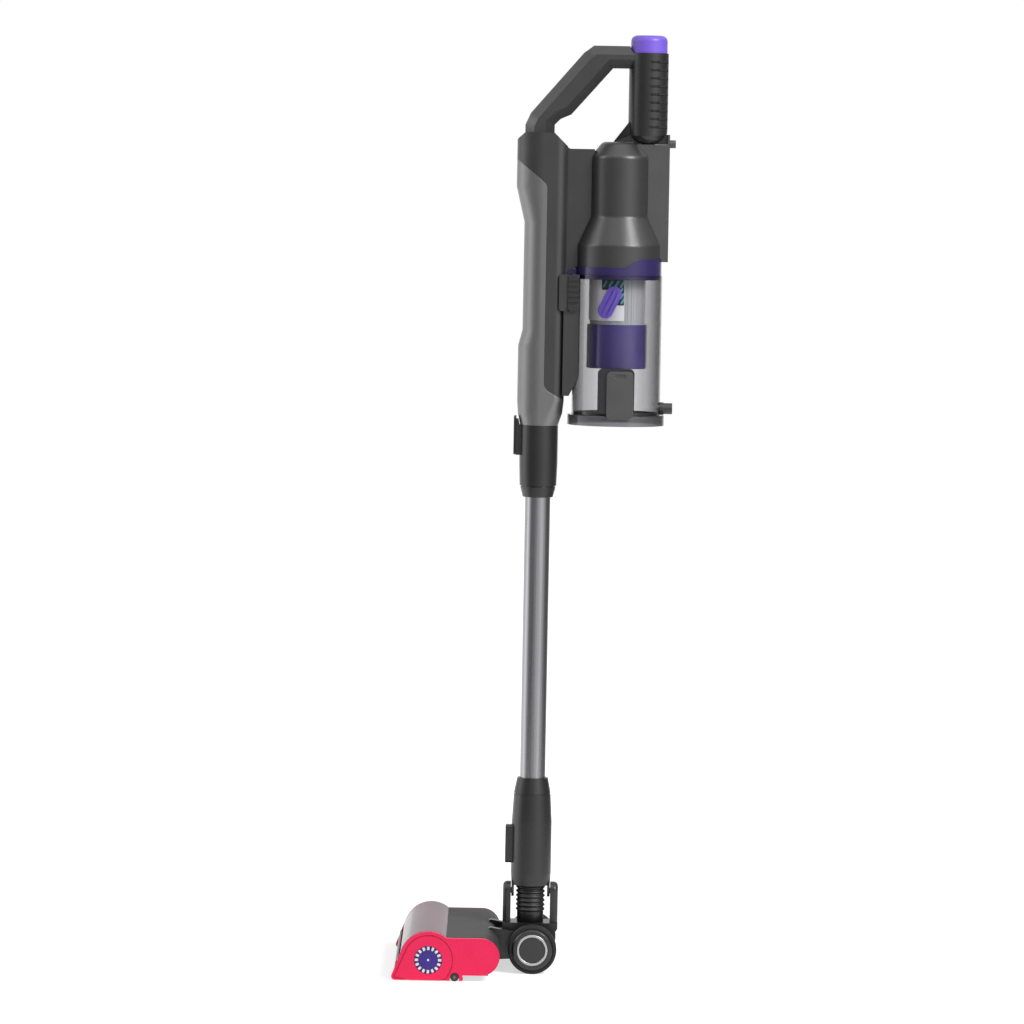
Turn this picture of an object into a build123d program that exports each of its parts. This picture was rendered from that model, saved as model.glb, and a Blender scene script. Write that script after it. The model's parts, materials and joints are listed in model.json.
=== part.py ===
from build123d import *
import os
from math import sqrt

# Cordless stick vacuum, standing upright on its floor head, in millimetres.
# X runs from the nose of the floor head (minus) to the back, Y across, Z up from the floor.
# The origin is on the floor under the middle of the whole object.
# Side outlines are drawn from the wand axis; the hand-held unit's heights count from its seat on the wand.

os.makedirs("parts", exist_ok=True)

# Reach and fits
FRONT_REACH = 160.5
REAR_REACH = 157.0
WAND_X = (FRONT_REACH - REAR_REACH) / 2
RUN_FIT = 0.05
SLIDE_FIT = 0.15
GAP = 0.3

# Places along the floor head, as shares of its front reach
ROLLER_X = -0.7352 * FRONT_REACH
HEEL_X = -0.48 * FRONT_REACH
BAR_X = -0.3533 * FRONT_REACH

# Floor head: end plates
HEAD_WIDTH = 250.0
PLATE_T = 5.0
PLATE_LIFT = 1.0
NOSE_R = 33.0
TOE_R = 4.0
HEEL_R = 2.0
BAR_Z = 28.8
BAR_R = 21.5
BAR_FRONT_X = ROLLER_X + 18.0
RING_R = 29.0
RING_W = 1.4
RING_DEPTH = 1.0
BORDER_R = 1.6
INNER_HALF = HEAD_WIDTH / 2 - PLATE_T

# Floor head: shell, sole, window, bumper and mouth strip
SHELL_T = 2.2
SHELL_PROUD = 0.3
SHELL_R = BAR_R + SHELL_PROUD
SHELL_FRONT = ROLLER_X + 25.0
AIR_HALF = 26.0
AIR_H = 20.0
PARTITION_Y = 34.0
SOLE_LIFT = 2.5
SOLE_T = 2.5
SOLE_TOE = -FRONT_REACH + 2.0
SOLE_STEP = HEEL_X - HEEL_R
SOLE_TOP = BAR_Z - SHELL_R + SHELL_T
SOLE_REAR = BAR_X + 8.7
MOUTH_FRONT = ROLLER_X - 26.0
MOUTH_REAR = ROLLER_X + 23.0
MOUTH_HALF = INNER_HALF - 8.0
WINDOW_R = NOSE_R + SHELL_PROUD
WINDOW_T = 2.0
BUMPER_T = 2.5
BUMPER_TOP = 22.0
BUMPER_LEAN = 3.0
STRIP_W = 4.0
STRIP_LIFT = 0.8
STRIP_HALF = INNER_HALF - 15.0

# Brush roller, dial and drive
ROLLER_Z = 24.5
PILE_R = 23.0
CORE_R = 17.0
CORE_T = 2.5
CORE_LEFT = -INNER_HALF + 12.0
CORE_RIGHT = INNER_HALF - 17.0
PILE_INSET = 2.0
PLUG_T = 8.0
DIAL_R = 16.0
DIAL_HUB_R = 11.0
DIAL_SINK = 1.8
DIAL_BACK = 2.0
DIAL_LUG_R = 19.5
DIAL_LUG_W = 10.0
DIAL_PIN_R = 4.0
FIN_COUNT = 16
FIN_W = 2.8
FIN_MARGIN = 0.5
ROLLER_PIN_R = 3.0
ROLLER_PIN_L = 16.0
PULLEY_Y = INNER_HALF - 8.0
PULLEY_W = 9.0
FLANGE_T = 1.0
FLANGE_H = 2.0
ROLLER_PULLEY_R = 13.0
MOTOR_PULLEY_R = 6.5
BELT_W = 6.0
BELT_T = 1.4
BELT_SLOT_W = 13.0
BELT_SLOT_H = 30.0
SPIGOT_L = 11.0
BRUSH_MOTOR_X = BAR_X - 9.3
BRUSH_MOTOR_R = 14.0
BRUSH_MOTOR_Y = 40.0
BRUSH_MOTOR_L = PULLEY_Y - BRUSH_MOTOR_Y - 16.0
BRUSH_SHAFT_R = 1.6
RIB_T = 4.0
RIB_W = 18.0

# Wheels, axles and hinge bracket
WHEEL_X = 2.8
WHEEL_R = 28.5
TYRE_H = 4.5
WHEEL_IN = 44.0
WHEEL_W = 20.0
WHEEL_EDGE = 2.0
RING_RECESS = 1.2
RING_IN = 15.0
RING_OUT = 18.4
AXLE_R = 4.0
AXLE_IN = 18.5
AXLE_CAP = 1.7
GLIDE_X = HEEL_X - 10.0
GLIDE_R = 4.8
GLIDE_W = 7.0
GLIDE_ROOM = 0.6
GLIDE_PIN_R = 1.5
GLIDE_WALL = INNER_HALF - 3.5
BRACKET_IN = 27.0
BRACKET_T = 10.0
BRACKET_R = 13.0
BOSS_R = 8.0
WEB_T = 5.5
WEB_LOW = 13.0
WEB_TOP = 43.0

# Neck: yoke and hose
YOKE_HALF = 26.5
DRUM_R = 19.0
SADDLE_LOW = 44.0
SADDLE_TOP = 54.0
SADDLE_HALF = 18.0
SADDLE_HEEL = 40.0
SADDLE_EDGE = 47.5
SADDLE_CUT = 5.0
ARM_IN = 23.2
ARM_OUT = 32.5
ARM_HALF = 11.0
ARM_ROUND = 5.0
PIVOT_Z = 90.0
PIVOT_R = 3.5
PIVOT_END = 1.5
HOSE_BORE = 11.5
HOSE_CUFF_R = 15.6
HOSE_CUFF_H = 12.0
HOSE_RIBS = 6
HOSE_CREST_R = 17.2
HOSE_VALLEY_R = 15.4

# Lower connector, wand tube and upper connector
CONNECTOR_FOOT = 97.5
CONNECTOR_FOOT_R = 22.6
CONNECTOR_R = 23.7
CONNECTOR_SHOULDER_R = 21.8
CONNECTOR_RIM_R = 18.2
CONNECTOR_TAPER_H = 14.5
CONNECTOR_BODY_H = 74.5
COLLAR_FOOT = 108.5
CONNECTOR_H = 126.5
AIR_R = 12.5
SEAM_DEPTH = 0.8
SEAM_H = 1.6
EAR_T = 3.0
EAR_R = 7.0
EAR_ROOT = 18.0
TUBE_R = 15.0
TUBE_T = 1.2
TUBE_L = 467.0
TUBE_SEAT = 27.5
TUBE_FOOT = CONNECTOR_FOOT + TUBE_SEAT
TUBE_TOP = TUBE_FOOT + TUBE_L
LOWER_TOP = CONNECTOR_FOOT + CONNECTOR_H
UPPER_R = 22.6
UPPER_WAIST_R = 21.7
UPPER_RIM_R = 18.0
UPPER_SLEEVE = 36.0
UPPER_COLLAR_H = 12.0
UPPER_TAPER_H = 41.0
SHOULDER_T = 2.0
SOCKET_H = 47.0
NOZZLE_R = 17.5
NOZZLE_T = 4.0
SEAT_Z = TUBE_TOP + SHOULDER_T + SOCKET_H
BUTTON_W = 16.0
BUTTON_CORNER = 4.0
BUTTON_EDGE = 1.5
LOWER_BUTTON_FOOT = 123.0
LOWER_BUTTON_H = 45.0
LOWER_BUTTON_OUT = 31.0
LOWER_BUTTON_DEPTH = 9.8
LOWER_POCKET_FLOOR = 18.0
UPPER_BUTTON_W = 13.0
UPPER_BUTTON_FOOT = -35.5
UPPER_BUTTON_H = 46.5
UPPER_BUTTON_OUT = 30.0
UPPER_BUTTON_DEPTH = 7.8
UPPER_BUTTON_TAB = 3.1
UPPER_POCKET_FLOOR = 20.0
GUARD_T = 1.6
GUARD_OUT = 27.0
GUARD_ROOM = 0.6

# Hand-held unit: column, seam of the silver cover, cradle and front wing (heights above the seat)
COLUMN_WALL = 2.2
COLUMN_REAR = 28.5
COLUMN_HALF = 26.5
COLUMN_CORNER = 13.0
SEAT_R = 22.4
FRONT_LOW = 26.5
FRONT_WAIST = 21.7
FRONT_HIGH = 31.6
TAPER_END = 29.0
WAIST_LOW = 94.0
WAIST_LOW_END = 113.0
WAIST_HIGH = 240.0
WAIST_HIGH_END = 282.0
COLUMN_TOP = 346.0
FLOOR_H = 19.0
SEAM_X = 4.5
SEAM_HIGH = 284.3
SEAM_LOW = 44.0
SEAM_RISE = 0.84
SEAM_FALL = 0.57
SEAM_ROUND = 12.0
BROW_X = -22.7
BROW_FRONT = 338.0
NAPE_X = 12.0
NAPE_REAR = 327.5
NAPE_WALL = 3.3
CRADLE_LOW = 36.0
CRADLE_SHOULDER = 57.0
CRADLE_TOE = 34.0
CRADLE_REAR = 44.5
CRADLE_HALF = 27.0
PAD_FRONT = 20.5
PAD_REAR = 30.5
PAD_OUT = 29.3
WING_HALF = 12.0
WING_REAR = 60.0
WING_LOW = 186.0
WING_TOP = 328.5
INLET_Z = 159.0
INLET_R = 14.5
INLET_T = 1.8
INLET_BEND = 26.0
HOLE_ROOM = 0.2

# Hand-held unit: handle arm and grip
ARM_EDGE_HALF = 6.0
ARM_RIDGE_HALF = 16.0
ARM_WALL = 2.4
GRIP_X = 122.3
GRIP_R = 23.3
GRIP_T = 2.4
GRIP_LOW = 334.0
GRIP_TOP = 442.0
GRIP_ROUND = 17.0
GROOVE_COUNT = 9
GROOVE_PITCH = 9.6
GROOVE_FIRST = 354.6
GROOVE_H = 3.0
GROOVE_DEPTH = 1.5
CAP_R = 21.6
CAP_TOP = 463.0
CAP_T = 2.2
CAP_ROUND = 7.0
CAP_SKIRT = 6.0
CAP_TRAVEL = 2.5
SWITCH_PLATE_T = 2.0
SWITCH_DROP = 18.0
SWITCH_W = 12.0

# Hand-held unit: motor cover, motor, fan and filter, about the bin axis
BIN_X = 90.3
MOTOR_NECK_R = 35.2
MOTOR_SKIRT_R = 49.8
MOTOR_WALL = 2.2
MOTOR_TOP = 336.5
MOTOR_CROWN_R = 21.0
MOTOR_SHOULDER = 319.0
MOTOR_ROUND = 9.0
MOTOR_FLARE_TOP = 248.0
MOTOR_FLARE_LOW = 214.0
MOTOR_LOW = 188.5
RAMP_HIGH = 198.7
RAMP_START = 97.0
RAMP_END = 114.0
VENT_COUNT = 7
VENT_W = 4.0
VENT_H = 40.0
VENT_Z = 290.0
VENT_STEP = 12.0
MOTOR_CAN_R = 26.0
MOTOR_CAN_LOW = 268.0
MOTOR_CAN_H = 50.0
MOTOR_CAN_T = 3.0
MOTOR_HUB_R = 10.0
MOUNT_T = 8.0
MOUNT_HIGH = 300.0
FAN_SHAFT_R = 3.0
FAN_R = 29.0
FAN_Z = 246.0
FAN_PLATE = 2.0
FAN_BLADE_H = 12.0
FAN_BLADES = 9
FILTER_IN = 28.0
FILTER_OUT = 45.8
FILTER_H = 36.0
FILTER_PLEATS = 40
FILTER_BAND = 3.0

# Hand-held unit: rear spine and upper peg
SPINE_HALF = 13.0
SPINE_T = 2.4
SPINE_REAR = 148.5
SPINE_LOW = 195.5
SPINE_TOP = 346.0
SPINE_ROOM = 0.2
GUSSET_FOOT_X = 80.0
GUSSET_TOP = 363.0
GUSSET_TOP_X = 102.0
GUSSET_HALF = 9.0
UPPER_PEG_R = 4.8
UPPER_PEG_Z = 335.0
UPPER_PEG_SETBACK = 1.3
BOARD_T = 1.6
BOARD_X = 139.0
BOARD_LOW = 226.0
BOARD_H = 94.0

# Battery
CELL_R = 9.25
CELL_L = 65.0
CELL_PITCH = 19.0
CELL_X = 5.0
CELL_LOW = 193.5
CELL_SPACE = 1.0
TRAY_T = 3.0

# Dust bin, door, latch and catch (heights above the seat)
BIN_R = 52.4
BIN_T = 2.0
BIN_LOW = 14.3
BIN_TOP = 179.0
COLLAR_R = 51.2
COLLAR_IN = 46.0
COLLAR_SPIGOT = 5.0
SHROUD_R = 32.5
SHROUD_T = 2.0
SHROUD_LOW = 119.0
SKIRT_R = 35.8
SKIRT_SIDES = 12
SKIRT_TURN = 5.0
SKIRT_T = 2.5
SKIRT_LOW = 69.0
SKIRT_TOP = 121.0
PANEL_T = 1.2
PANEL_EDGE = 7.0
PANEL_LOW = 125.5
PANEL_TOP = 178.0
VANE_T = 6.0
VANE_L = 40.0
VANE_W = 18.0
VANE_GROOVE_W = 1.8
VANE_GROOVE = 2.5
VANE_LEAN = 26.0
VANE_X = -10.0
VANE_Z = 147.5
DOOR_R = 57.3
DOOR_LOW = 2.0
DOOR_TOP = 14.0
DOOR_PLATE = 3.0
DOOR_RIM = 2.5
SEAL_W = 3.0
SEAL_H = 3.0
HINGE_Y = 61.5
HINGE_R = 3.5
HINGE_PIN_R = 1.5
HINGE_HALF = 6.5
HINGE_LUG = 6.0
HINGE_STEM = 14.0
LATCH_X = 89.0
LATCH_W = 43.0
LATCH_OUT = 58.0
LATCH_LOW = 17.0
LATCH_TOP = 70.0
LATCH_CORNER = 6.0
KEY_X = 93.6
KEY_W = 31.6
KEY_LOW = 11.0
KEY_TOP = 67.0
KEY_OUT = 61.2
KEY_PLATE = 3.0
KEY_STEM = 1.7
KEY_TRAVEL = 1.5
KEY_SLOT_L = 14.0
KEY_SLOT_W = 4.6
KEY_SLOT_DEPTH = 1.4
CATCH_FRONT = 31.0
CATCH_REAR = 44.3
CATCH_LOW = 136.0
CATCH_TOP = 179.0
CATCH_T = 4.7
CATCH_STEM_W = 6.0
CATCH_STEM_H = 18.0
CATCH_TRAVEL = 6.0
CATCH_RIBS = 5
CATCH_RIB_H = 3.2
CATCH_RIB_DEPTH = 1.6
LOWER_PEG_R = 6.6
LOWER_PEG_Z = 22.0
PEG_ROOT_R = 7.5
PEG_ROOT_L = 4.0


# Planes
def side(y=0.0, z=0.0):
    """Side view at depth y: sketch x runs back from the wand axis, sketch y up from height z, facing -Y."""
    return Plane(origin=(WAND_X, y, z), x_dir=(1, 0, 0), z_dir=(0, -1, 0))


def hand(y=0.0):
    """Side view of the hand-held unit, heights from its seat."""
    return side(y, SEAT_Z)


def bin_side(y=0.0):
    """Side view whose sketch x counts from the bin axis, heights from the seat."""
    return Plane(origin=(WAND_X + BIN_X, y, SEAT_Z), x_dir=(1, 0, 0), z_dir=(0, -1, 0))


def level(z, x=0.0):
    """Horizontal plane at height z, x behind the wand axis."""
    return Plane(origin=(WAND_X + x, 0, z))


def across(x, z=0.0):
    """Plane square to X, x behind the wand axis: sketch x runs along Y, sketch y up from height z."""
    return Plane(origin=(WAND_X + x, 0, z), x_dir=(0, 1, 0), z_dir=(1, 0, 0))


def wheel_section():
    """Section through the wheel axle: sketch x runs along Y, sketch y up from the axle."""
    return across(WHEEL_X, WHEEL_R)


WAND_AXIS = Axis((WAND_X, 0, 0), (0, 0, 1))
BIN_AXIS = Axis((WAND_X + BIN_X, 0, 0), (0, 0, 1))
AXLE_AXIS = Axis((WAND_X + WHEEL_X, 0, WHEEL_R), (0, 1, 0))


# Outlines used more than once
def hull(*discs):
    """The taut outline round some discs, each given as x, z and radius."""
    with BuildSketch() as outline:
        for x, z, radius in discs:
            with Locations((x, z)):
                Circle(radius)
        make_hull()
    return outline.sketch


def polygon(*points):
    """A closed outline through the points."""
    with BuildSketch() as outline:
        with BuildLine():
            Polyline(*points, close=True)
        make_face()
    return outline.sketch


nose_outline = hull(
    (ROLLER_X, ROLLER_Z, NOSE_R),
    (-FRONT_REACH + TOE_R, PLATE_LIFT + TOE_R, TOE_R),
    (HEEL_X - HEEL_R, PLATE_LIFT + HEEL_R, HEEL_R),
)
bar_outline = hull((BAR_X, BAR_Z, BAR_R), (BAR_FRONT_X, BAR_Z, BAR_R))


def border_outline(inset):
    """Line inside the nose outline, from the roller's ring to the toe and along the foot, drawn in by inset."""
    return hull(
        (ROLLER_X, ROLLER_Z, RING_R - inset),
        (-FRONT_REACH + TOE_R, PLATE_LIFT + TOE_R, BORDER_R - inset),
        (GLIDE_X - 2 * GLIDE_R, PLATE_LIFT + TOE_R, BORDER_R - inset),
    )


# End plates, with the notch for the glide wheel and a border line round the roller's end
def end_plate(y_inner, y_outer):
    """One end plate between two depths, without its roller support."""
    with BuildPart() as plate:
        with BuildSketch(side(max(y_inner, y_outer))):
            add(nose_outline)
            add(bar_outline)
            with Locations((ROLLER_X, PLATE_LIFT - NOSE_R)):
                Rectangle(4 * NOSE_R, 2 * NOSE_R, mode=Mode.SUBTRACT)
            with Locations((GLIDE_X, GLIDE_R)):
                Circle(GLIDE_R + GLIDE_ROOM, mode=Mode.SUBTRACT)
            with Locations((GLIDE_X, GLIDE_R / 2)):
                Rectangle(2 * (GLIDE_R + GLIDE_ROOM), GLIDE_R, mode=Mode.SUBTRACT)
        extrude(amount=PLATE_T)
        with BuildSketch(side(y_outer)):
            add(border_outline(0.0))
            add(border_outline(RING_W), mode=Mode.SUBTRACT)
        extrude(amount=RING_DEPTH if y_outer > 0 else -RING_DEPTH, mode=Mode.SUBTRACT)
    return plate.part


with BuildPart() as end_plate_left:
    add(end_plate(-INNER_HALF, -HEAD_WIDTH / 2))
    with BuildSketch(side(-INNER_HALF)):
        with Locations((ROLLER_X, ROLLER_Z)):
            Circle(DIAL_R + GAP)
    extrude(amount=PLATE_T, mode=Mode.SUBTRACT)
end_plate_left.part.label = "end_plate_left"
export_step(end_plate_left.part, "parts/end_plate_left.step")

with BuildPart() as end_plate_right:
    add(end_plate(INNER_HALF, HEAD_WIDTH / 2))
    with BuildSketch(side(INNER_HALF)):
        with Locations((ROLLER_X, ROLLER_Z)):
            Circle(ROLLER_PIN_R)
    extrude(amount=ROLLER_PIN_L)
end_plate_right.part.label = "end_plate_right"
export_step(end_plate_right.part, "parts/end_plate_right.step")

# Sole: a stepped plate with the suction mouth, a wall behind the mouth, motor seats and glide pins
sole_low_top = SOLE_LIFT + SOLE_T
sole_high = SOLE_TOP - SOLE_T
with BuildPart() as head_sole:
    with BuildSketch(side()):
        add(
            polygon(
                (SOLE_TOE, SOLE_LIFT),
                (SOLE_STEP, SOLE_LIFT),
                (SOLE_STEP, sole_high),
                (SOLE_REAR, sole_high),
                (SOLE_REAR, SOLE_TOP),
                (SOLE_STEP - SOLE_T, SOLE_TOP),
                (SOLE_STEP - SOLE_T, sole_low_top),
                (SHELL_FRONT + SHELL_T, sole_low_top),
                (SHELL_FRONT + SHELL_T, SOLE_TOP),
                (SHELL_FRONT, SOLE_TOP),
                (SHELL_FRONT, sole_low_top),
                (SOLE_TOE, sole_low_top),
            )
        )
    extrude(amount=INNER_HALF, both=True)
    with BuildSketch(level(0)):
        with Locations(((MOUTH_FRONT + MOUTH_REAR) / 2, 0)):
            Rectangle(MOUTH_REAR - MOUTH_FRONT, 2 * MOUTH_HALF)
    extrude(amount=sole_low_top, mode=Mode.SUBTRACT)
    with BuildSketch(level(0)):
        for y in (-INNER_HALF, INNER_HALF):
            with Locations((GLIDE_X, y)):
                Rectangle(2 * (GLIDE_R + GLIDE_ROOM), 2 * (INNER_HALF - GLIDE_WALL))
    extrude(amount=SOLE_TOP, mode=Mode.SUBTRACT)
    for wall, tip in ((GLIDE_WALL, GLIDE_WALL + GLIDE_W), (-GLIDE_WALL, -GLIDE_WALL - GLIDE_W)):
        with BuildSketch(side(max(wall, tip))):
            with Locations((GLIDE_X, GLIDE_R)):
                Circle(GLIDE_PIN_R)
        extrude(amount=abs(tip - wall))
        inside = wall - PLATE_T if wall > 0 else wall + PLATE_T
        with BuildSketch(side(max(wall, inside))):
            with Locations((GLIDE_X, (SOLE_LIFT + 2 * GLIDE_R) / 2)):
                Rectangle(2 * GLIDE_R, 2 * GLIDE_R - SOLE_LIFT)
        extrude(amount=PLATE_T)
    for y in (BRUSH_MOTOR_Y + 2 * RIB_T, BRUSH_MOTOR_Y + BRUSH_MOTOR_L - RIB_T):
        with BuildSketch(side(y)):
            with Locations((BRUSH_MOTOR_X, (SOLE_TOP + BAR_Z) / 2)):
                Rectangle(RIB_W, BAR_Z - SOLE_TOP)
            with Locations((BRUSH_MOTOR_X, BAR_Z)):
                Circle(BRUSH_MOTOR_R, mode=Mode.SUBTRACT)
        extrude(amount=RIB_T)
head_sole.part.label = "head_sole"
export_step(head_sole.part, "parts/head_sole.step")

# Rear shell of the floor head: a round-backed box, open below, with a motor partition on each side and a
# lip in front that meets the window
shell_top = BAR_Z + SHELL_R
window_rear = ROLLER_X + sqrt(WINDOW_R**2 - (shell_top - ROLLER_Z) ** 2)
with BuildPart() as head_shell:
    with BuildSketch(side()) as shell_outline:
        with Locations(((SHELL_FRONT + BAR_X) / 2, BAR_Z)):
            Rectangle(BAR_X - SHELL_FRONT, 2 * SHELL_R)
        with Locations((BAR_X, BAR_Z)):
            Circle(SHELL_R)
    extrude(amount=INNER_HALF, both=True)
    with BuildSketch(side()):
        with Locations(((window_rear + SHELL_FRONT + SHELL_T) / 2, shell_top - SHELL_T / 2)):
            Rectangle(SHELL_FRONT + SHELL_T - window_rear, SHELL_T)
    extrude(amount=INNER_HALF, both=True)
    inner_front = SHELL_FRONT + SHELL_T
    inner_r = SHELL_R - SHELL_T
    for low, high in (
        (-INNER_HALF, -PARTITION_Y - SHELL_T),
        (-PARTITION_Y, PARTITION_Y),
        (PARTITION_Y + SHELL_T, INNER_HALF),
    ):
        with BuildSketch(side(high)):
            with Locations(((inner_front + BAR_X) / 2, BAR_Z)):
                Rectangle(BAR_X - inner_front, 2 * inner_r)
            with Locations((BAR_X, BAR_Z)):
                Circle(inner_r)
        extrude(amount=high - low, mode=Mode.SUBTRACT)
    with BuildSketch(level(0)):
        with Locations((BAR_X, 0)):
            Rectangle(4 * BAR_R, 2 * INNER_HALF)
    extrude(amount=SOLE_TOP, mode=Mode.SUBTRACT)
    with BuildSketch(across(SHELL_FRONT)):
        with Locations((0, BAR_Z)):
            Rectangle(2 * AIR_HALF, AIR_H)
        with Locations((PULLEY_Y, BAR_Z)):
            Rectangle(BELT_SLOT_W, BELT_SLOT_H)
    extrude(amount=SHELL_T, mode=Mode.SUBTRACT)
    with BuildSketch(across(BAR_X)):
        with Locations((0, BAR_Z)):
            Rectangle(2 * HOSE_BORE, AIR_H)
    extrude(amount=SHELL_R, mode=Mode.SUBTRACT)
head_shell.part.label = "head_shell"
export_step(head_shell.part, "parts/head_shell.step")

# Clear window over the roller, from the shell's lip round to the nose
with BuildPart() as roller_window:
    with BuildSketch(side()):
        with Locations((ROLLER_X, ROLLER_Z)):
            Circle(WINDOW_R)
            Circle(WINDOW_R - WINDOW_T, mode=Mode.SUBTRACT)
        with Locations((window_rear - WINDOW_R, ROLLER_Z + WINDOW_R / 2)):
            Rectangle(2 * WINDOW_R, WINDOW_R, mode=Mode.INTERSECT)
    extrude(amount=INNER_HALF, both=True)
roller_window.part.label = "roller_window"
export_step(roller_window.part, "parts/roller_window.step")

# Clear bumper strip leaning back over the nose
with BuildPart() as front_bumper:
    with BuildSketch(side()):
        add(
            polygon(
                (SOLE_TOE, sole_low_top),
                (SOLE_TOE + BUMPER_T, sole_low_top),
                (SOLE_TOE + BUMPER_T + BUMPER_LEAN, BUMPER_TOP),
                (SOLE_TOE + BUMPER_LEAN, BUMPER_TOP),
            )
        )
    extrude(amount=INNER_HALF, both=True)
front_bumper.part.label = "front_bumper"
export_step(front_bumper.part, "parts/front_bumper.step")

# Felt strip under the sole, behind the mouth
with BuildPart() as mouth_strip:
    with BuildSketch(level(STRIP_LIFT)):
        with Locations((MOUTH_REAR + STRIP_W / 2, 0)):
            Rectangle(STRIP_W, 2 * STRIP_HALF)
    extrude(amount=SOLE_LIFT - STRIP_LIFT)
mouth_strip.part.label = "mouth_strip"
export_step(mouth_strip.part, "parts/mouth_strip.step")

# Brush roller: core tube with a left plug, plush sleeve and right pulley
with BuildPart() as roller_core:
    with BuildSketch(side(CORE_RIGHT)):
        with Locations((ROLLER_X, ROLLER_Z)):
            Circle(CORE_R)
    extrude(amount=CORE_RIGHT - CORE_LEFT)
    with BuildSketch(side(CORE_RIGHT)):
        with Locations((ROLLER_X, ROLLER_Z)):
            Circle(CORE_R - CORE_T)
    extrude(amount=CORE_RIGHT - CORE_LEFT - PLUG_T, mode=Mode.SUBTRACT)
    with BuildSketch(side(CORE_RIGHT)):
        with Locations((ROLLER_X, ROLLER_Z)):
            Circle(DIAL_PIN_R + RUN_FIT)
    extrude(amount=CORE_RIGHT - CORE_LEFT, mode=Mode.SUBTRACT)
roller_core.part.label = "roller_core"
export_step(roller_core.part, "parts/roller_core.step")

with BuildPart() as roller_sleeve:
    with BuildSketch(side(CORE_RIGHT - PILE_INSET)):
        with Locations((ROLLER_X, ROLLER_Z)):
            Circle(PILE_R)
            Circle(CORE_R, mode=Mode.SUBTRACT)
    extrude(amount=CORE_RIGHT - CORE_LEFT - 2 * PILE_INSET)
roller_sleeve.part.label = "roller_sleeve"
export_step(roller_sleeve.part, "parts/roller_sleeve.step")


def pulley_discs(x, z, radius):
    """A belt pulley with a flange at each end, centred on the belt."""
    edge = PULLEY_Y + PULLEY_W / 2
    with BuildPart() as pulley:
        with BuildSketch(side(edge)):
            with Locations((x, z)):
                Circle(radius)
        extrude(amount=PULLEY_W)
        for y in (edge, edge - PULLEY_W + FLANGE_T):
            with BuildSketch(side(y)):
                with Locations((x, z)):
                    Circle(radius + FLANGE_H)
            extrude(amount=FLANGE_T)
    return pulley.part


with BuildPart() as roller_pulley:
    add(pulley_discs(ROLLER_X, ROLLER_Z, ROLLER_PULLEY_R))
    with BuildSketch(side(PULLEY_Y)):
        with Locations((ROLLER_X, ROLLER_Z)):
            Circle(ROLLER_PULLEY_R)
    extrude(amount=PULLEY_Y - CORE_RIGHT)
    with BuildSketch(side(CORE_RIGHT)):
        with Locations((ROLLER_X, ROLLER_Z)):
            Circle(CORE_R - CORE_T)
    extrude(amount=SPIGOT_L)
    with BuildSketch(side(INNER_HALF)):
        with Locations((ROLLER_X, ROLLER_Z)):
            Circle(ROLLER_PIN_R + RUN_FIT)
    extrude(amount=ROLLER_PIN_L + 1, mode=Mode.SUBTRACT)
roller_pulley.part.label = "roller_pulley"
export_step(roller_pulley.part, "parts/roller_pulley.step")

# Brush motor, its shaft with the small pulley, and the belt to the roller
with BuildPart() as brush_motor:
    with BuildSketch(side(BRUSH_MOTOR_Y + BRUSH_MOTOR_L)):
        with Locations((BRUSH_MOTOR_X, BAR_Z)):
            Circle(BRUSH_MOTOR_R)
            Circle(BRUSH_SHAFT_R + RUN_FIT, mode=Mode.SUBTRACT)
    extrude(amount=BRUSH_MOTOR_L)
    fillet(brush_motor.edges().filter_by(GeomType.CIRCLE).group_by(SortBy.RADIUS)[-1], BUTTON_EDGE)
brush_motor.part.label = "brush_motor"
export_step(brush_motor.part, "parts/brush_motor.step")

with BuildPart() as motor_pulley:
    add(pulley_discs(BRUSH_MOTOR_X, BAR_Z, MOTOR_PULLEY_R))
    with BuildSketch(side(PULLEY_Y)):
        with Locations((BRUSH_MOTOR_X, BAR_Z)):
            Circle(BRUSH_SHAFT_R)
    extrude(amount=PULLEY_Y - BRUSH_MOTOR_Y)
motor_pulley.part.label = "motor_pulley"
export_step(motor_pulley.part, "parts/motor_pulley.step")

belt_run = hull(
    (ROLLER_X, ROLLER_Z, ROLLER_PULLEY_R + SLIDE_FIT),
    (BRUSH_MOTOR_X, BAR_Z, MOTOR_PULLEY_R + SLIDE_FIT),
)
belt_back = hull(
    (ROLLER_X, ROLLER_Z, ROLLER_PULLEY_R + SLIDE_FIT + BELT_T),
    (BRUSH_MOTOR_X, BAR_Z, MOTOR_PULLEY_R + SLIDE_FIT + BELT_T),
)
with BuildPart() as drive_belt:
    with BuildSketch(side(PULLEY_Y + BELT_W / 2)):
        add(belt_back)
        add(belt_run, mode=Mode.SUBTRACT)
    extrude(amount=BELT_W)
drive_belt.part.label = "drive_belt"
export_step(drive_belt.part, "parts/drive_belt.step")

# End dial: turns to free the roller, and carries its left end on a pin
dial_face = -HEAD_WIDTH / 2
dial_back = -INNER_HALF + GAP
with BuildPart() as brush_dial:
    with BuildSketch(side(dial_back + DIAL_BACK)):
        with Locations((ROLLER_X, ROLLER_Z)):
            Circle(DIAL_R)
    extrude(amount=dial_back + DIAL_BACK - dial_face - DIAL_SINK)
    with BuildSketch(side(dial_face + DIAL_SINK)):
        with Locations((ROLLER_X, ROLLER_Z)):
            Circle(DIAL_HUB_R)
    extrude(amount=DIAL_SINK)
    with BuildSketch(side(dial_back + DIAL_BACK)):
        with Locations((ROLLER_X, ROLLER_Z)):
            Rectangle(2 * DIAL_LUG_R, DIAL_LUG_W)
            Circle(DIAL_LUG_R, mode=Mode.INTERSECT)
    extrude(amount=DIAL_BACK)
    with BuildSketch(side(CORE_LEFT + PLUG_T - 1)):
        with Locations((ROLLER_X, ROLLER_Z)):
            Circle(DIAL_PIN_R)
    extrude(amount=CORE_LEFT + PLUG_T - 1 - dial_back)
brush_dial.part.label = "brush_dial"
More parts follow.
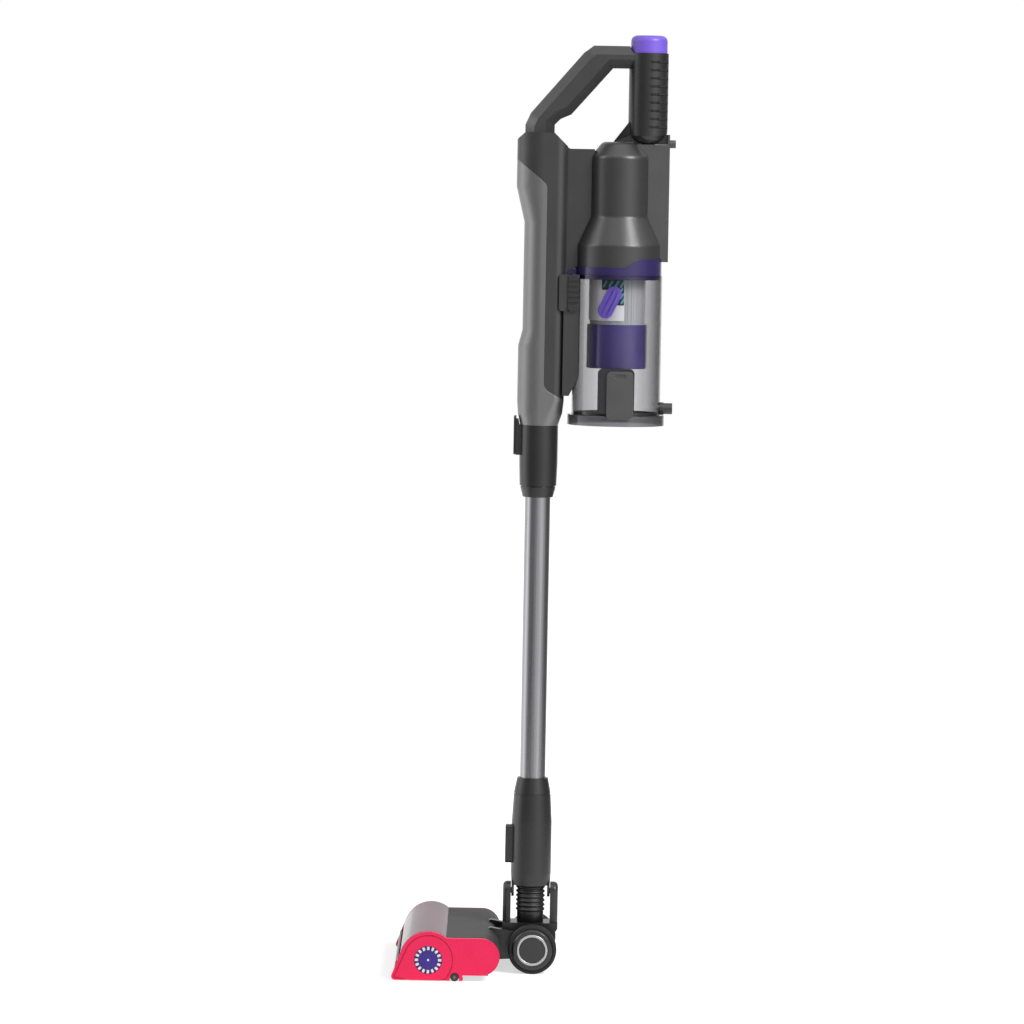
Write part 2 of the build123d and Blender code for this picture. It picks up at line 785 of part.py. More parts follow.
export_step(brush_dial.part, "parts/brush_dial.step")

with BuildPart() as dial_fins:
    with BuildSketch(side(dial_face + DIAL_SINK)):
        with Locations((ROLLER_X, ROLLER_Z)):
            with PolarLocations((DIAL_HUB_R + DIAL_R) / 2, FIN_COUNT):
                Rectangle(DIAL_R - DIAL_HUB_R - 2 * FIN_MARGIN, FIN_W)
    extrude(amount=DIAL_SINK)
dial_fins.part.label = "dial_fins"
export_step(dial_fins.part, "parts/dial_fins.step")


# Rear wheels: hub with a ring recess, and tyre
def wheel_hub(turn):
    """Wheel hub on one side; turn is 1 for the right wheel and -1 for the left."""
    hub_r = WHEEL_R - TYRE_H
    outer = WHEEL_IN + WHEEL_W
    cap = outer - AXLE_CAP
    points = (
        (WHEEL_IN, AXLE_R + RUN_FIT),
        (WHEEL_IN, hub_r - WHEEL_EDGE),
        (WHEEL_IN + WHEEL_EDGE, hub_r),
        (outer - WHEEL_EDGE, hub_r),
        (outer, hub_r - WHEEL_EDGE),
        (outer, RING_OUT),
        (outer - RING_RECESS, RING_OUT),
        (outer - RING_RECESS, RING_IN),
        (outer, RING_IN),
        (outer, 0),
        (cap, 0),
        (cap, AXLE_R + RUN_FIT),
    )
    with BuildPart() as hub:
        with BuildSketch(wheel_section()):
            add(polygon(*[(turn * y, r) for y, r in points]))
        revolve(axis=AXLE_AXIS)
    return hub.part


def wheel_tyre(turn):
    """Tyre round one wheel hub."""
    hub_r = WHEEL_R - TYRE_H
    low = WHEEL_IN + WHEEL_EDGE
    high = WHEEL_IN + WHEEL_W - WHEEL_EDGE
    points = (
        (low, hub_r),
        (low, WHEEL_R - WHEEL_EDGE),
        (low + WHEEL_EDGE, WHEEL_R),
        (high - WHEEL_EDGE, WHEEL_R),
        (high, WHEEL_R - WHEEL_EDGE),
        (high, hub_r),
    )
    with BuildPart() as tyre:
        with BuildSketch(wheel_section()):
            add(polygon(*[(turn * y, r) for y, r in points]))
        revolve(axis=AXLE_AXIS)
    return tyre.part


for side_name, turn in (("left", -1), ("right", 1)):
    with BuildPart() as wheel:
        add(wheel_hub(turn))
    wheel.part.label = f"wheel_{side_name}"
    export_step(wheel.part, f"parts/wheel_{side_name}.step")
    with BuildPart() as tyre:
        add(wheel_tyre(turn))
    tyre.part.label = f"tyre_{side_name}"
    export_step(tyre.part, f"parts/tyre_{side_name}.step")

# Glide wheels in the notches of the end plates
for side_name, high in (("left", -GLIDE_WALL - GAP), ("right", GLIDE_WALL + GAP + GLIDE_W)):
    with BuildPart() as glide_wheel:
        with BuildSketch(side(high)):
            with Locations((GLIDE_X, GLIDE_R)):
                Circle(GLIDE_R)
                Circle(GLIDE_PIN_R + RUN_FIT, mode=Mode.SUBTRACT)
        extrude(amount=GLIDE_W)
    glide_wheel.part.label = f"glide_wheel_{side_name}"
    export_step(glide_wheel.part, f"parts/glide_wheel_{side_name}.step")

# Stub axles: one each side, so that air can pass between them
axle_out = WHEEL_IN + WHEEL_W - AXLE_CAP - GAP
with BuildPart() as stub_axles:
    for high in (axle_out, -AXLE_IN):
        with BuildSketch(side(high)):
            with Locations((WHEEL_X, WHEEL_R)):
                Circle(AXLE_R)
        extrude(amount=axle_out - AXLE_IN)
stub_axles.part.label = "stub_axles"
export_step(stub_axles.part, "parts/stub_axles.step")

# Hinge bracket: two arms behind the shell that hold the axles, joined by a web with the air hole
bracket_outline = hull(
    (WHEEL_X, WHEEL_R, BRACKET_R),
    (BAR_X + SHELL_R / 2, WEB_LOW + TOE_R, TOE_R),
    (BAR_X + SHELL_R / 2, BAR_Z + SHELL_R - TOE_R, TOE_R),
)
with BuildPart() as hinge_bracket:
    for high in (BRACKET_IN + BRACKET_T, -BRACKET_IN):
        with BuildSketch(side(high)):
            add(bracket_outline)
            with Locations((BAR_X, BAR_Z)):
                Circle(SHELL_R, mode=Mode.SUBTRACT)
        extrude(amount=BRACKET_T)
    boss_l = WHEEL_IN - GAP - BRACKET_IN
    for high in (WHEEL_IN - GAP, -BRACKET_IN):
        with BuildSketch(side(high)):
            with Locations((WHEEL_X, WHEEL_R)):
                Circle(BOSS_R)
        extrude(amount=boss_l)
    with BuildSketch(side(WHEEL_IN)):
        with Locations((WHEEL_X, WHEEL_R)):
            Circle(AXLE_R)
    extrude(amount=2 * WHEEL_IN, mode=Mode.SUBTRACT)
    with BuildSketch(across(BAR_X + SHELL_R)):
        with Locations((0, (WEB_LOW + WEB_TOP) / 2)):
            Rectangle(2 * BRACKET_IN, WEB_TOP - WEB_LOW)
        with Locations((0, BAR_Z)):
            Rectangle(2 * HOSE_BORE, AIR_H, mode=Mode.SUBTRACT)
    extrude(amount=WEB_T)
hinge_bracket.part.label = "hinge_bracket"
export_step(hinge_bracket.part, "parts/hinge_bracket.step")

# Neck yoke: a drum on the axles, a saddle for the hose, and an arm in front and behind with a pivot bore
with BuildPart() as neck_yoke:
    with BuildSketch(side(YOKE_HALF)):
        with Locations((WHEEL_X, WHEEL_R)):
            Circle(DRUM_R)
    extrude(amount=2 * YOKE_HALF)
    with BuildSketch(side(SADDLE_HALF)):
        add(
            polygon(
                (-ARM_OUT, SADDLE_LOW),
                (-ARM_OUT, SADDLE_TOP),
                (ARM_OUT, SADDLE_TOP),
                (ARM_OUT, SADDLE_EDGE),
                (ARM_OUT - SADDLE_CUT, SADDLE_HEEL),
                (WHEEL_X, SADDLE_HEEL),
                (WHEEL_X, SADDLE_LOW),
            )
        )
    extrude(amount=2 * SADDLE_HALF)
    for x, outer in ((ARM_IN, ARM_OUT), (-ARM_OUT, -ARM_OUT)):
        with BuildPart(mode=Mode.PRIVATE) as arm:
            with BuildSketch(across(x)):
                with Locations((0, PIVOT_Z)):
                    Circle(ARM_HALF)
                with Locations((0, (SADDLE_EDGE + PIVOT_Z) / 2)):
                    Rectangle(2 * ARM_HALF, PIVOT_Z - SADDLE_EDGE)
            extrude(amount=ARM_OUT - ARM_IN)
            crown = (WAND_X + outer, 0, PIVOT_Z + ARM_HALF)
            fillet(arm.edges().filter_by(GeomType.CIRCLE).sort_by_distance(crown)[0], ARM_ROUND)
        add(arm.part)
    with BuildSketch(level(WHEEL_R)):
        Circle(HOSE_BORE)
    extrude(amount=SADDLE_TOP - WHEEL_R, mode=Mode.SUBTRACT)
    with BuildSketch(across(WHEEL_X - DRUM_R, WHEEL_R)):
        Rectangle(2 * HOSE_BORE, AIR_H)
    extrude(amount=DRUM_R, mode=Mode.SUBTRACT)
    with BuildSketch(side(YOKE_HALF)):
        with Locations((WHEEL_X, WHEEL_R)):
            Circle(AXLE_R + RUN_FIT)
    extrude(amount=2 * YOKE_HALF, mode=Mode.SUBTRACT)
    with BuildSketch(across(-ARM_OUT + PIVOT_END, PIVOT_Z)):
        Circle(PIVOT_R + RUN_FIT)
    extrude(amount=2 * (ARM_OUT - PIVOT_END), mode=Mode.SUBTRACT)
neck_yoke.part.label = "neck_yoke"
export_step(neck_yoke.part, "parts/neck_yoke.step")

# Ribbed neck hose: a plain cuff on the saddle, ribs above it, up to the connector's foot
rib_low = SADDLE_TOP + HOSE_CUFF_H
rib_pitch = (CONNECTOR_FOOT - rib_low) / HOSE_RIBS
hose_circles = [(SADDLE_TOP, HOSE_CUFF_R), (rib_low, HOSE_CUFF_R)]
for rib in range(HOSE_RIBS):
    foot = rib_low + rib * rib_pitch
    hose_circles.append((foot + 0.15 * rib_pitch, HOSE_VALLEY_R))
    hose_circles.append((foot + 0.40 * rib_pitch, HOSE_CREST_R))
    hose_circles.append((foot + 0.75 * rib_pitch, HOSE_CREST_R))
    hose_circles.append((foot + 1.00 * rib_pitch, HOSE_VALLEY_R))
with BuildPart() as neck_hose:
    for z, radius in hose_circles:
        with BuildSketch(level(z)):
            Circle(radius)
    loft(ruled=True)
    with BuildSketch(level(SADDLE_TOP)):
        Circle(HOSE_BORE)
    extrude(amount=CONNECTOR_FOOT - SADDLE_TOP, mode=Mode.SUBTRACT)
neck_hose.part.label = "neck_hose"
export_step(neck_hose.part, "parts/neck_hose.step")

# Lower connector: swings on two trunnions in the yoke's arms and holds the foot of the tube
collar_z = CONNECTOR_FOOT + COLLAR_FOOT
with BuildPart() as lower_connector:
    with BuildSketch(side()):
        add(
            polygon(
                (AIR_R, CONNECTOR_FOOT),
                (CONNECTOR_FOOT_R, CONNECTOR_FOOT),
                (CONNECTOR_R, CONNECTOR_FOOT + CONNECTOR_TAPER_H),
                (CONNECTOR_R, CONNECTOR_FOOT + CONNECTOR_BODY_H),
                (CONNECTOR_SHOULDER_R, collar_z - SEAM_H),
                (CONNECTOR_SHOULDER_R - SEAM_DEPTH, collar_z - SEAM_H),
                (CONNECTOR_SHOULDER_R - SEAM_DEPTH, collar_z),
                (CONNECTOR_SHOULDER_R, collar_z),
                (CONNECTOR_RIM_R, LOWER_TOP),
                (TUBE_R + SLIDE_FIT, LOWER_TOP),
                (TUBE_R + SLIDE_FIT, TUBE_FOOT),
                (AIR_R, TUBE_FOOT),
            )
        )
    revolve(axis=WAND_AXIS)
    ear_in = ARM_IN - 2 * GAP - EAR_T
    for x in (ear_in, -ear_in - EAR_T):
        with BuildSketch(across(x, PIVOT_Z)):
            Circle(EAR_R)
            with Locations((0, EAR_ROOT / 2)):
                Rectangle(2 * EAR_R, EAR_ROOT)
        extrude(amount=EAR_T)
    pin_out = ARM_OUT - PIVOT_END - GAP
    for x in (ear_in, -pin_out):
        with BuildSketch(across(x, PIVOT_Z)):
            Circle(PIVOT_R)
        extrude(amount=pin_out - ear_in)
    with BuildSketch(across(-LOWER_BUTTON_OUT, LOWER_BUTTON_FOOT + LOWER_BUTTON_H / 2)):
        RectangleRounded(BUTTON_W + 2 * GAP, LOWER_BUTTON_H + 2 * GAP, BUTTON_CORNER + GAP)
    extrude(amount=LOWER_BUTTON_OUT - LOWER_POCKET_FLOOR, mode=Mode.SUBTRACT)
lower_connector.part.label = "lower_connector"
export_step(lower_connector.part, "parts/lower_connector.step")

with BuildPart() as lower_button:
    with BuildSketch(across(-LOWER_BUTTON_OUT, LOWER_BUTTON_FOOT + LOWER_BUTTON_H / 2)):
        RectangleRounded(BUTTON_W, LOWER_BUTTON_H, BUTTON_CORNER)
    extrude(amount=LOWER_BUTTON_DEPTH)
    fillet(lower_button.faces().sort_by(Axis.X)[0].edges(), BUTTON_EDGE)
lower_button.part.label = "lower_button"
export_step(lower_button.part, "parts/lower_button.step")

# Wand tube
with BuildPart() as wand_tube:
    with BuildSketch(level(TUBE_FOOT)):
        Circle(TUBE_R)
        Circle(TUBE_R - TUBE_T, mode=Mode.SUBTRACT)
    extrude(amount=TUBE_L)
wand_tube.part.label = "wand_tube"
export_step(wand_tube.part, "parts/wand_tube.step")

# Upper connector: fixed on the tube, a socket above for the hand-held unit's nozzle, and a guard on each
# side of the release button that follows the front of the silver cover
upper_foot = TUBE_TOP - UPPER_SLEEVE
upper_seam = upper_foot + UPPER_COLLAR_H
guard_in = UPPER_BUTTON_W / 2 + GAP
guard_top = UPPER_BUTTON_FOOT + UPPER_BUTTON_H - BUTTON_CORNER
guard_spread = (FRONT_LOW - 1.0 - SEAT_R) * guard_top / (TAPER_END / 2)
guard_outline = polygon(
    (-GUARD_OUT, UPPER_BUTTON_FOOT),
    (-GUARD_OUT, guard_top),
    (-SEAT_R - guard_spread - GUARD_ROOM, guard_top),
    (-SEAT_R - GUARD_ROOM, 0),
    (-UPPER_POCKET_FLOOR, 0),
    (-UPPER_POCKET_FLOOR, UPPER_BUTTON_FOOT),
)
with BuildPart() as upper_connector:
    with BuildSketch(side()):
        add(
            polygon(
                (TUBE_R, upper_foot),
                (UPPER_RIM_R, upper_foot),
                (UPPER_WAIST_R - SEAM_DEPTH, upper_seam),
                (UPPER_WAIST_R - 2 * SEAM_DEPTH, upper_seam),
                (UPPER_WAIST_R - 2 * SEAM_DEPTH, upper_seam + SEAM_H),
                (UPPER_WAIST_R, upper_seam + SEAM_H),
                (UPPER_R, upper_foot + UPPER_TAPER_H),
                (UPPER_R, SEAT_Z),
                (NOZZLE_R + SLIDE_FIT, SEAT_Z),
                (NOZZLE_R + SLIDE_FIT, SEAT_Z - SOCKET_H),
                (TUBE_R - TUBE_T, SEAT_Z - SOCKET_H),
                (TUBE_R - TUBE_T, TUBE_TOP),
                (TUBE_R, TUBE_TOP),
            )
        )
    revolve(axis=WAND_AXIS)
    for y in (guard_in + GUARD_T, -guard_in):
        with BuildSketch(hand(y)):
            add(guard_outline)
        extrude(amount=GUARD_T)
    pocket_h = GAP - UPPER_BUTTON_FOOT
    with BuildSketch(across(-UPPER_BUTTON_OUT, SEAT_Z - pocket_h / 2)):
        Rectangle(2 * guard_in, pocket_h)
    extrude(amount=UPPER_BUTTON_OUT - UPPER_POCKET_FLOOR, mode=Mode.SUBTRACT)
upper_connector.part.label = "upper_connector"
export_step(upper_connector.part, "parts/upper_connector.step")

upper_block_h = -UPPER_BUTTON_FOOT - 2 * GAP
with BuildPart() as upper_button:
    with BuildSketch(across(-UPPER_BUTTON_OUT, SEAT_Z + UPPER_BUTTON_FOOT + UPPER_BUTTON_H / 2)):
        RectangleRounded(UPPER_BUTTON_W, UPPER_BUTTON_H, BUTTON_CORNER)
    extrude(amount=UPPER_BUTTON_TAB)
    fillet(upper_button.faces().sort_by(Axis.X)[0].edges(), BUTTON_EDGE)
    with BuildSketch(across(-UPPER_BUTTON_OUT + UPPER_BUTTON_TAB, SEAT_Z + UPPER_BUTTON_FOOT)):
        with Locations((0, BUTTON_CORNER + (upper_block_h - BUTTON_CORNER) / 2)):
            Rectangle(UPPER_BUTTON_W, upper_block_h - BUTTON_CORNER)
    extrude(amount=UPPER_BUTTON_DEPTH - UPPER_BUTTON_TAB)
upper_button.part.label = "upper_button"
export_step(upper_button.part, "parts/upper_button.step")


# Column of the hand-held unit: stations of height, front reach, rear reach, half width and corner radius
column_stations = (
    (0.0, SEAT_R, SEAT_R, SEAT_R, SEAT_R - 2.0),
    (TAPER_END / 2, FRONT_LOW - 1.0, COLUMN_REAR - 1.5, COLUMN_HALF - 2.0, COLUMN_CORNER + 5.0),
    (TAPER_END, FRONT_LOW, COLUMN_REAR, COLUMN_HALF, COLUMN_CORNER),
    (WAIST_LOW, FRONT_LOW, COLUMN_REAR, COLUMN_HALF, COLUMN_CORNER),
    (WAIST_LOW_END, FRONT_WAIST, COLUMN_REAR, COLUMN_HALF, COLUMN_CORNER),
    (WAIST_HIGH, FRONT_WAIST, COLUMN_REAR, COLUMN_HALF, COLUMN_CORNER),
    (WAIST_HIGH_END, FRONT_HIGH, COLUMN_REAR, COLUMN_HALF, COLUMN_CORNER),
    (COLUMN_TOP, FRONT_HIGH, COLUMN_REAR, COLUMN_HALF, COLUMN_CORNER),
)


def column_body(stations, inset):
    """Solid column through the stations, drawn in by inset: half an ellipse in front, a rounded back."""
    with BuildPart() as column:
        for z, front, rear, half, corner in stations:
            with BuildSketch(level(SEAT_Z + z)):
                with BuildLine():
                    EllipticalCenterArc((0, 0), front - inset, half - inset, start_angle=90, arc_size=180)
                    FilletPolyline(
                        (0, -half + inset),
                        (rear - inset, -half + inset),
                        (rear - inset, half - inset),
                        (0, half - inset),
                        radius=corner - inset,
                    )
                make_face()
        loft(ruled=True)
    return column.part


def column_cavity():
    """Room inside the column, from the floor over the nozzle to just under the top and the slanting nape."""
    floor = (FLOOR_H, FRONT_LOW - 1.0, COLUMN_REAR - 1.5, COLUMN_HALF - 2.0, COLUMN_CORNER + 5.0)
    roof = (COLUMN_TOP - COLUMN_WALL, FRONT_HIGH, COLUMN_REAR, COLUMN_HALF, COLUMN_CORNER)
    nape_end = COLUMN_REAR + COLUMN_WALL
    with BuildPart() as room:
        add(column_body((floor,) + column_stations[2:-1] + (roof,), COLUMN_WALL))
        with BuildSketch(hand()):
            add(
                polygon(
                    (NAPE_X, COLUMN_TOP - NAPE_WALL),
                    (nape_end, NAPE_REAR - NAPE_WALL),
                    (nape_end, COLUMN_TOP),
                    (NAPE_X, COLUMN_TOP),
                )
            )
        extrude(amount=COLUMN_HALF, both=True, mode=Mode.SUBTRACT)
    return room.part


# The silver cover is what lies in front of and below this seam
seam_front_x = -2 * FRONT_HIGH
seam_rear_x = 2 * COLUMN_REAR
with BuildSketch() as cover_region:
    with BuildLine():
        FilletPolyline(
            (seam_front_x, SEAM_HIGH + SEAM_RISE * (SEAM_X - seam_front_x)),
            (SEAM_X, SEAM_HIGH),
            (SEAM_X, SEAM_LOW),
            (seam_rear_x, SEAM_LOW - SEAM_FALL * (seam_rear_x - SEAM_X)),
            radius=SEAM_ROUND,
        )
        Polyline(
            (seam_rear_x, SEAM_LOW - SEAM_FALL * (seam_rear_x - SEAM_X)),
            (seam_rear_x, -SOCKET_H),
            (seam_front_x, -SOCKET_H),
            (seam_front_x, SEAM_HIGH + SEAM_RISE * (SEAM_X - seam_front_x)),
        )
    make_face()


def cover_space():
    """Everything on the silver cover's side of the seam."""
    with BuildPart() as space:
        with BuildSketch(hand()):
            add(cover_region.sketch)
        extrude(amount=2 * COLUMN_HALF, both=True)
    return space.part


# Silver duct cover with the nozzle that plugs into the upper connector
with BuildPart() as duct_cover:
    add(column_body(column_stations, 0.0))
    add(column_cavity(), mode=Mode.SUBTRACT)
    add(cover_space(), mode=Mode.INTERSECT)
    with BuildSketch(level(SEAT_Z)):
        Circle(NOZZLE_R)
    extrude(amount=-SOCKET_H + GAP)
    with BuildSketch(level(SEAT_Z - SOCKET_H)):
        Circle(NOZZLE_R - NOZZLE_T)
    extrude(amount=SOCKET_H + FLOOR_H, mode=Mode.SUBTRACT)
duct_cover.part.label = "duct_cover"
export_step(duct_cover.part, "parts/duct_cover.step")

# Inlet duct: from the nozzle's floor up the column and back to the bin
inlet_end = BIN_X - BIN_R - GAP
with BuildPart() as inlet_duct:
    with BuildLine(hand()) as inlet_path:
        Line((0, FLOOR_H), (0, INLET_Z - INLET_BEND))
        RadiusArc((0, INLET_Z - INLET_BEND), (INLET_BEND, INLET_Z), INLET_BEND)
        Line((INLET_BEND, INLET_Z), (inlet_end, INLET_Z))
    with BuildSketch(level(SEAT_Z + FLOOR_H)):
        Circle(INLET_R)
        Circle(INLET_R - INLET_T, mode=Mode.SUBTRACT)
    sweep()
inlet_duct.part.label = "inlet_duct"
export_step(inlet_duct.part, "parts/inlet_duct.step")


# Motor cover: a turned shell about the bin axis, its lower edge stepped up behind a ramp
def motor_outline(inset):
    """Half outline of the motor cover, drawn in by inset, with rounded shoulder and flare."""
    with BuildSketch() as outline:
        with BuildLine():
            FilletPolyline(
                (0, MOTOR_TOP - inset),
                (MOTOR_CROWN_R, MOTOR_TOP - inset),
                (MOTOR_NECK_R - inset, MOTOR_SHOULDER),
                (MOTOR_NECK_R - inset, MOTOR_FLARE_TOP),
                (MOTOR_SKIRT_R - inset, MOTOR_FLARE_LOW),
                (MOTOR_SKIRT_R - inset, MOTOR_LOW),
                radius=MOTOR_ROUND,
            )
            Polyline((MOTOR_SKIRT_R - inset, MOTOR_LOW), (0, MOTOR_LOW), (0, MOTOR_TOP - inset))
        make_face()
    return outline.sketch


def motor_space(grow):
    """Solid of the motor cover, grown by a clearance."""
    with BuildPart() as space:
        with BuildSketch(bin_side()):
            add(motor_outline(-grow))
        revolve(axis=BIN_AXIS)
    return space.part


ramp_outline = polygon(
    (RAMP_START, BIN_TOP),
    (2 * RAMP_END, BIN_TOP),
    (2 * RAMP_END, RAMP_HIGH),
    (RAMP_END, RAMP_HIGH),
    (RAMP_START, MOTOR_LOW),
)
with BuildPart() as motor_cover:
    add(motor_space(0.0))
    with BuildSketch(bin_side()):
        add(motor_outline(MOTOR_WALL))
    revolve(axis=BIN_AXIS, mode=Mode.SUBTRACT)
    with BuildSketch(hand()):
        add(ramp_outline)
    extrude(amount=2 * MOTOR_SKIRT_R, both=True, mode=Mode.SUBTRACT)
    with BuildSketch(bin_side(MOTOR_NECK_R)):
        with GridLocations(VENT_STEP / 2, 0, VENT_COUNT, 1):
            with Locations((0, VENT_Z)):
                SlotOverall(VENT_H, VENT_W, rotation=90)
    extrude(amount=MOTOR_NECK_R / 2, mode=Mode.SUBTRACT)
motor_cover.part.label = "motor_cover"
export_step(motor_cover.part, "parts/motor_cover.step")

# Suction motor, its rubber mounts and the fan rotor
with BuildPart() as suction_motor:
    with BuildSketch(level(SEAT_Z + MOTOR_CAN_LOW, BIN_X)):
        Circle(MOTOR_CAN_R)
        Circle(FAN_SHAFT_R + RUN_FIT, mode=Mode.SUBTRACT)
    extrude(amount=MOTOR_CAN_H)
    fillet(suction_motor.edges().filter_by(GeomType.CIRCLE).group_by(SortBy.RADIUS)[-1], BUTTON_EDGE)
    with BuildSketch(level(SEAT_Z + MOTOR_CAN_LOW + MOTOR_CAN_T, BIN_X)):
        Circle(MOTOR_CAN_R - MOTOR_CAN_T)
        Circle(MOTOR_HUB_R, mode=Mode.SUBTRACT)
    extrude(amount=MOTOR_CAN_H - MOTOR_CAN_T, mode=Mode.SUBTRACT)
suction_motor.part.label = "suction_motor"
export_step(suction_motor.part, "parts/suction_motor.step")

with BuildPart() as motor_mounts:
    for z in (MOTOR_CAN_LOW + MOUNT_T, MOUNT_HIGH):
        with BuildSketch(level(SEAT_Z + z, BIN_X)):
            Circle(MOTOR_NECK_R - MOTOR_WALL)
            Circle(MOTOR_CAN_R, mode=Mode.SUBTRACT)
        extrude(amount=MOUNT_T)
motor_mounts.part.label = "motor_mounts"
export_step(motor_mounts.part, "parts/motor_mounts.step")

with BuildPart() as fan_rotor:
    with BuildSketch(level(SEAT_Z + FAN_Z, BIN_X)):
        Circle(FAN_SHAFT_R)
    extrude(amount=MOTOR_CAN_LOW + MOTOR_CAN_H - FAN_Z)
    with BuildSketch(level(SEAT_Z + FAN_Z + FAN_BLADE_H, BIN_X)):
        Circle(FAN_R)
    extrude(amount=FAN_PLATE)
    with BuildSketch(level(SEAT_Z + FAN_Z, BIN_X)):
        Circle(2 * FAN_SHAFT_R)
        with PolarLocations(FAN_R / 2, FAN_BLADES):
            Rectangle(FAN_R - 2 * FAN_PLATE, FAN_PLATE)
    extrude(amount=FAN_BLADE_H)
fan_rotor.part.label = "fan_rotor"
export_step(fan_rotor.part, "parts/fan_rotor.step")

# Pleated filter in the flare, between two end bands
with BuildPart() as main_filter:
    for z in (BIN_TOP, BIN_TOP + FILTER_H - FILTER_BAND):
        with BuildSketch(level(SEAT_Z + z, BIN_X)):
            Circle(FILTER_OUT)
            Circle(FILTER_IN, mode=Mode.SUBTRACT)
        extrude(amount=FILTER_BAND)
    with BuildSketch(level(SEAT_Z + BIN_TOP, BIN_X)):
        with PolarLocations((FILTER_IN + FILTER_OUT) / 2, FILTER_PLEATS):
            Rectangle(FILTER_OUT - FILTER_IN - 1, FILTER_BAND / 2)
    extrude(amount=FILTER_H)
main_filter.part.label = "main_filter"
export_step(main_filter.part, "parts/main_filter.step")

# Handle arm outline, from the column's top over to the grip
arm_points = (
    (BROW_X, COLUMN_TOP),
    (BROW_X, COLUMN_TOP + 9.0),
    (-16.5, 369.0),
    (45.0, 441.0),
    (57.0, 450.0),
    (GRIP_X - 10.0, 450.0),
    (GRIP_X - 10.0, 423.5),
    (80.0, 423.5),
    (31.5, 368.0),
    (19.0, 362.5),
    (NAPE_X, 355.5),
    (NAPE_X, COLUMN_TOP),
)


# Flat ridge on each side of the arm, point for point inside the outline
ridge_points = (
    (-12.2, COLUMN_TOP),
    (-12.2, COLUMN_TOP + 6.8),
    (-8.0, 362.5),
    (53.5, 434.5),
    (60.0, 439.5),
    (GRIP_X - 10.0, 439.5),
    (GRIP_X - 10.0, 434.0),
    (75.3, 434.0),
    (25.7, 377.0),
    (13.0, 371.3),
    (1.5, 359.8),
    (1.5, COLUMN_TOP),
)


def inset_points(points, amount):
    """The outline drawn in by amount, corner for corner; the points run clockwise."""
    moved = []
    for i, (x, z) in enumerate(points):
        x0, z0 = points[i - 1]
        x1, z1 = points[(i + 1) % len(points)]
        run = sqrt((x - x0) ** 2 + (z - z0) ** 2)
        next_run = sqrt((x1 - x) ** 2 + (z1 - z) ** 2)
        nx = (z - z0) / run
        nz = (x0 - x) / run
        mx = (z1 - z) / next_run
        mz = (x - x1) / next_run
        spread = 1 + nx * mx + nz * mz
        moved.append((x + amount * (nx + mx) / spread, z + amount * (nz + mz) / spread))
    return moved


def arm_body(outline, ridge, edge_half, ridge_half):
    """Faceted handle arm: full outline along the edges, narrowing to a ridge on each side."""
    with BuildPart() as arm:
        with BuildSketch(hand(edge_half)):
            add(polygon(*outline))
        extrude(amount=2 * edge_half)
        for near, far in ((edge_half, ridge_half), (-edge_half, -ridge_half)):
            with BuildSketch(hand(near)):
                add(polygon(*outline))
            with BuildSketch(hand(far)):
                add(polygon(*ridge))
            loft(ruled=True)
    return arm.part


def upright_disc(x, radius, low, high):
    """A round column of the hand-held unit, between two heights above the seat."""
    with BuildPart() as disc:
        with BuildSketch(level(SEAT_Z + low, x)):
            Circle(radius)
        extrude(amount=high - low)
    return disc.part


def slab(front, rear, low, high, half):
    """A block of the hand-held unit, centred on the middle plane."""
    with BuildPart() as block:
        with BuildSketch(hand(half)):
            with Locations(((front + rear) / 2, (low + high) / 2)):
                Rectangle(rear - front, high - low)
        extrude(amount=2 * half)
    return block.part


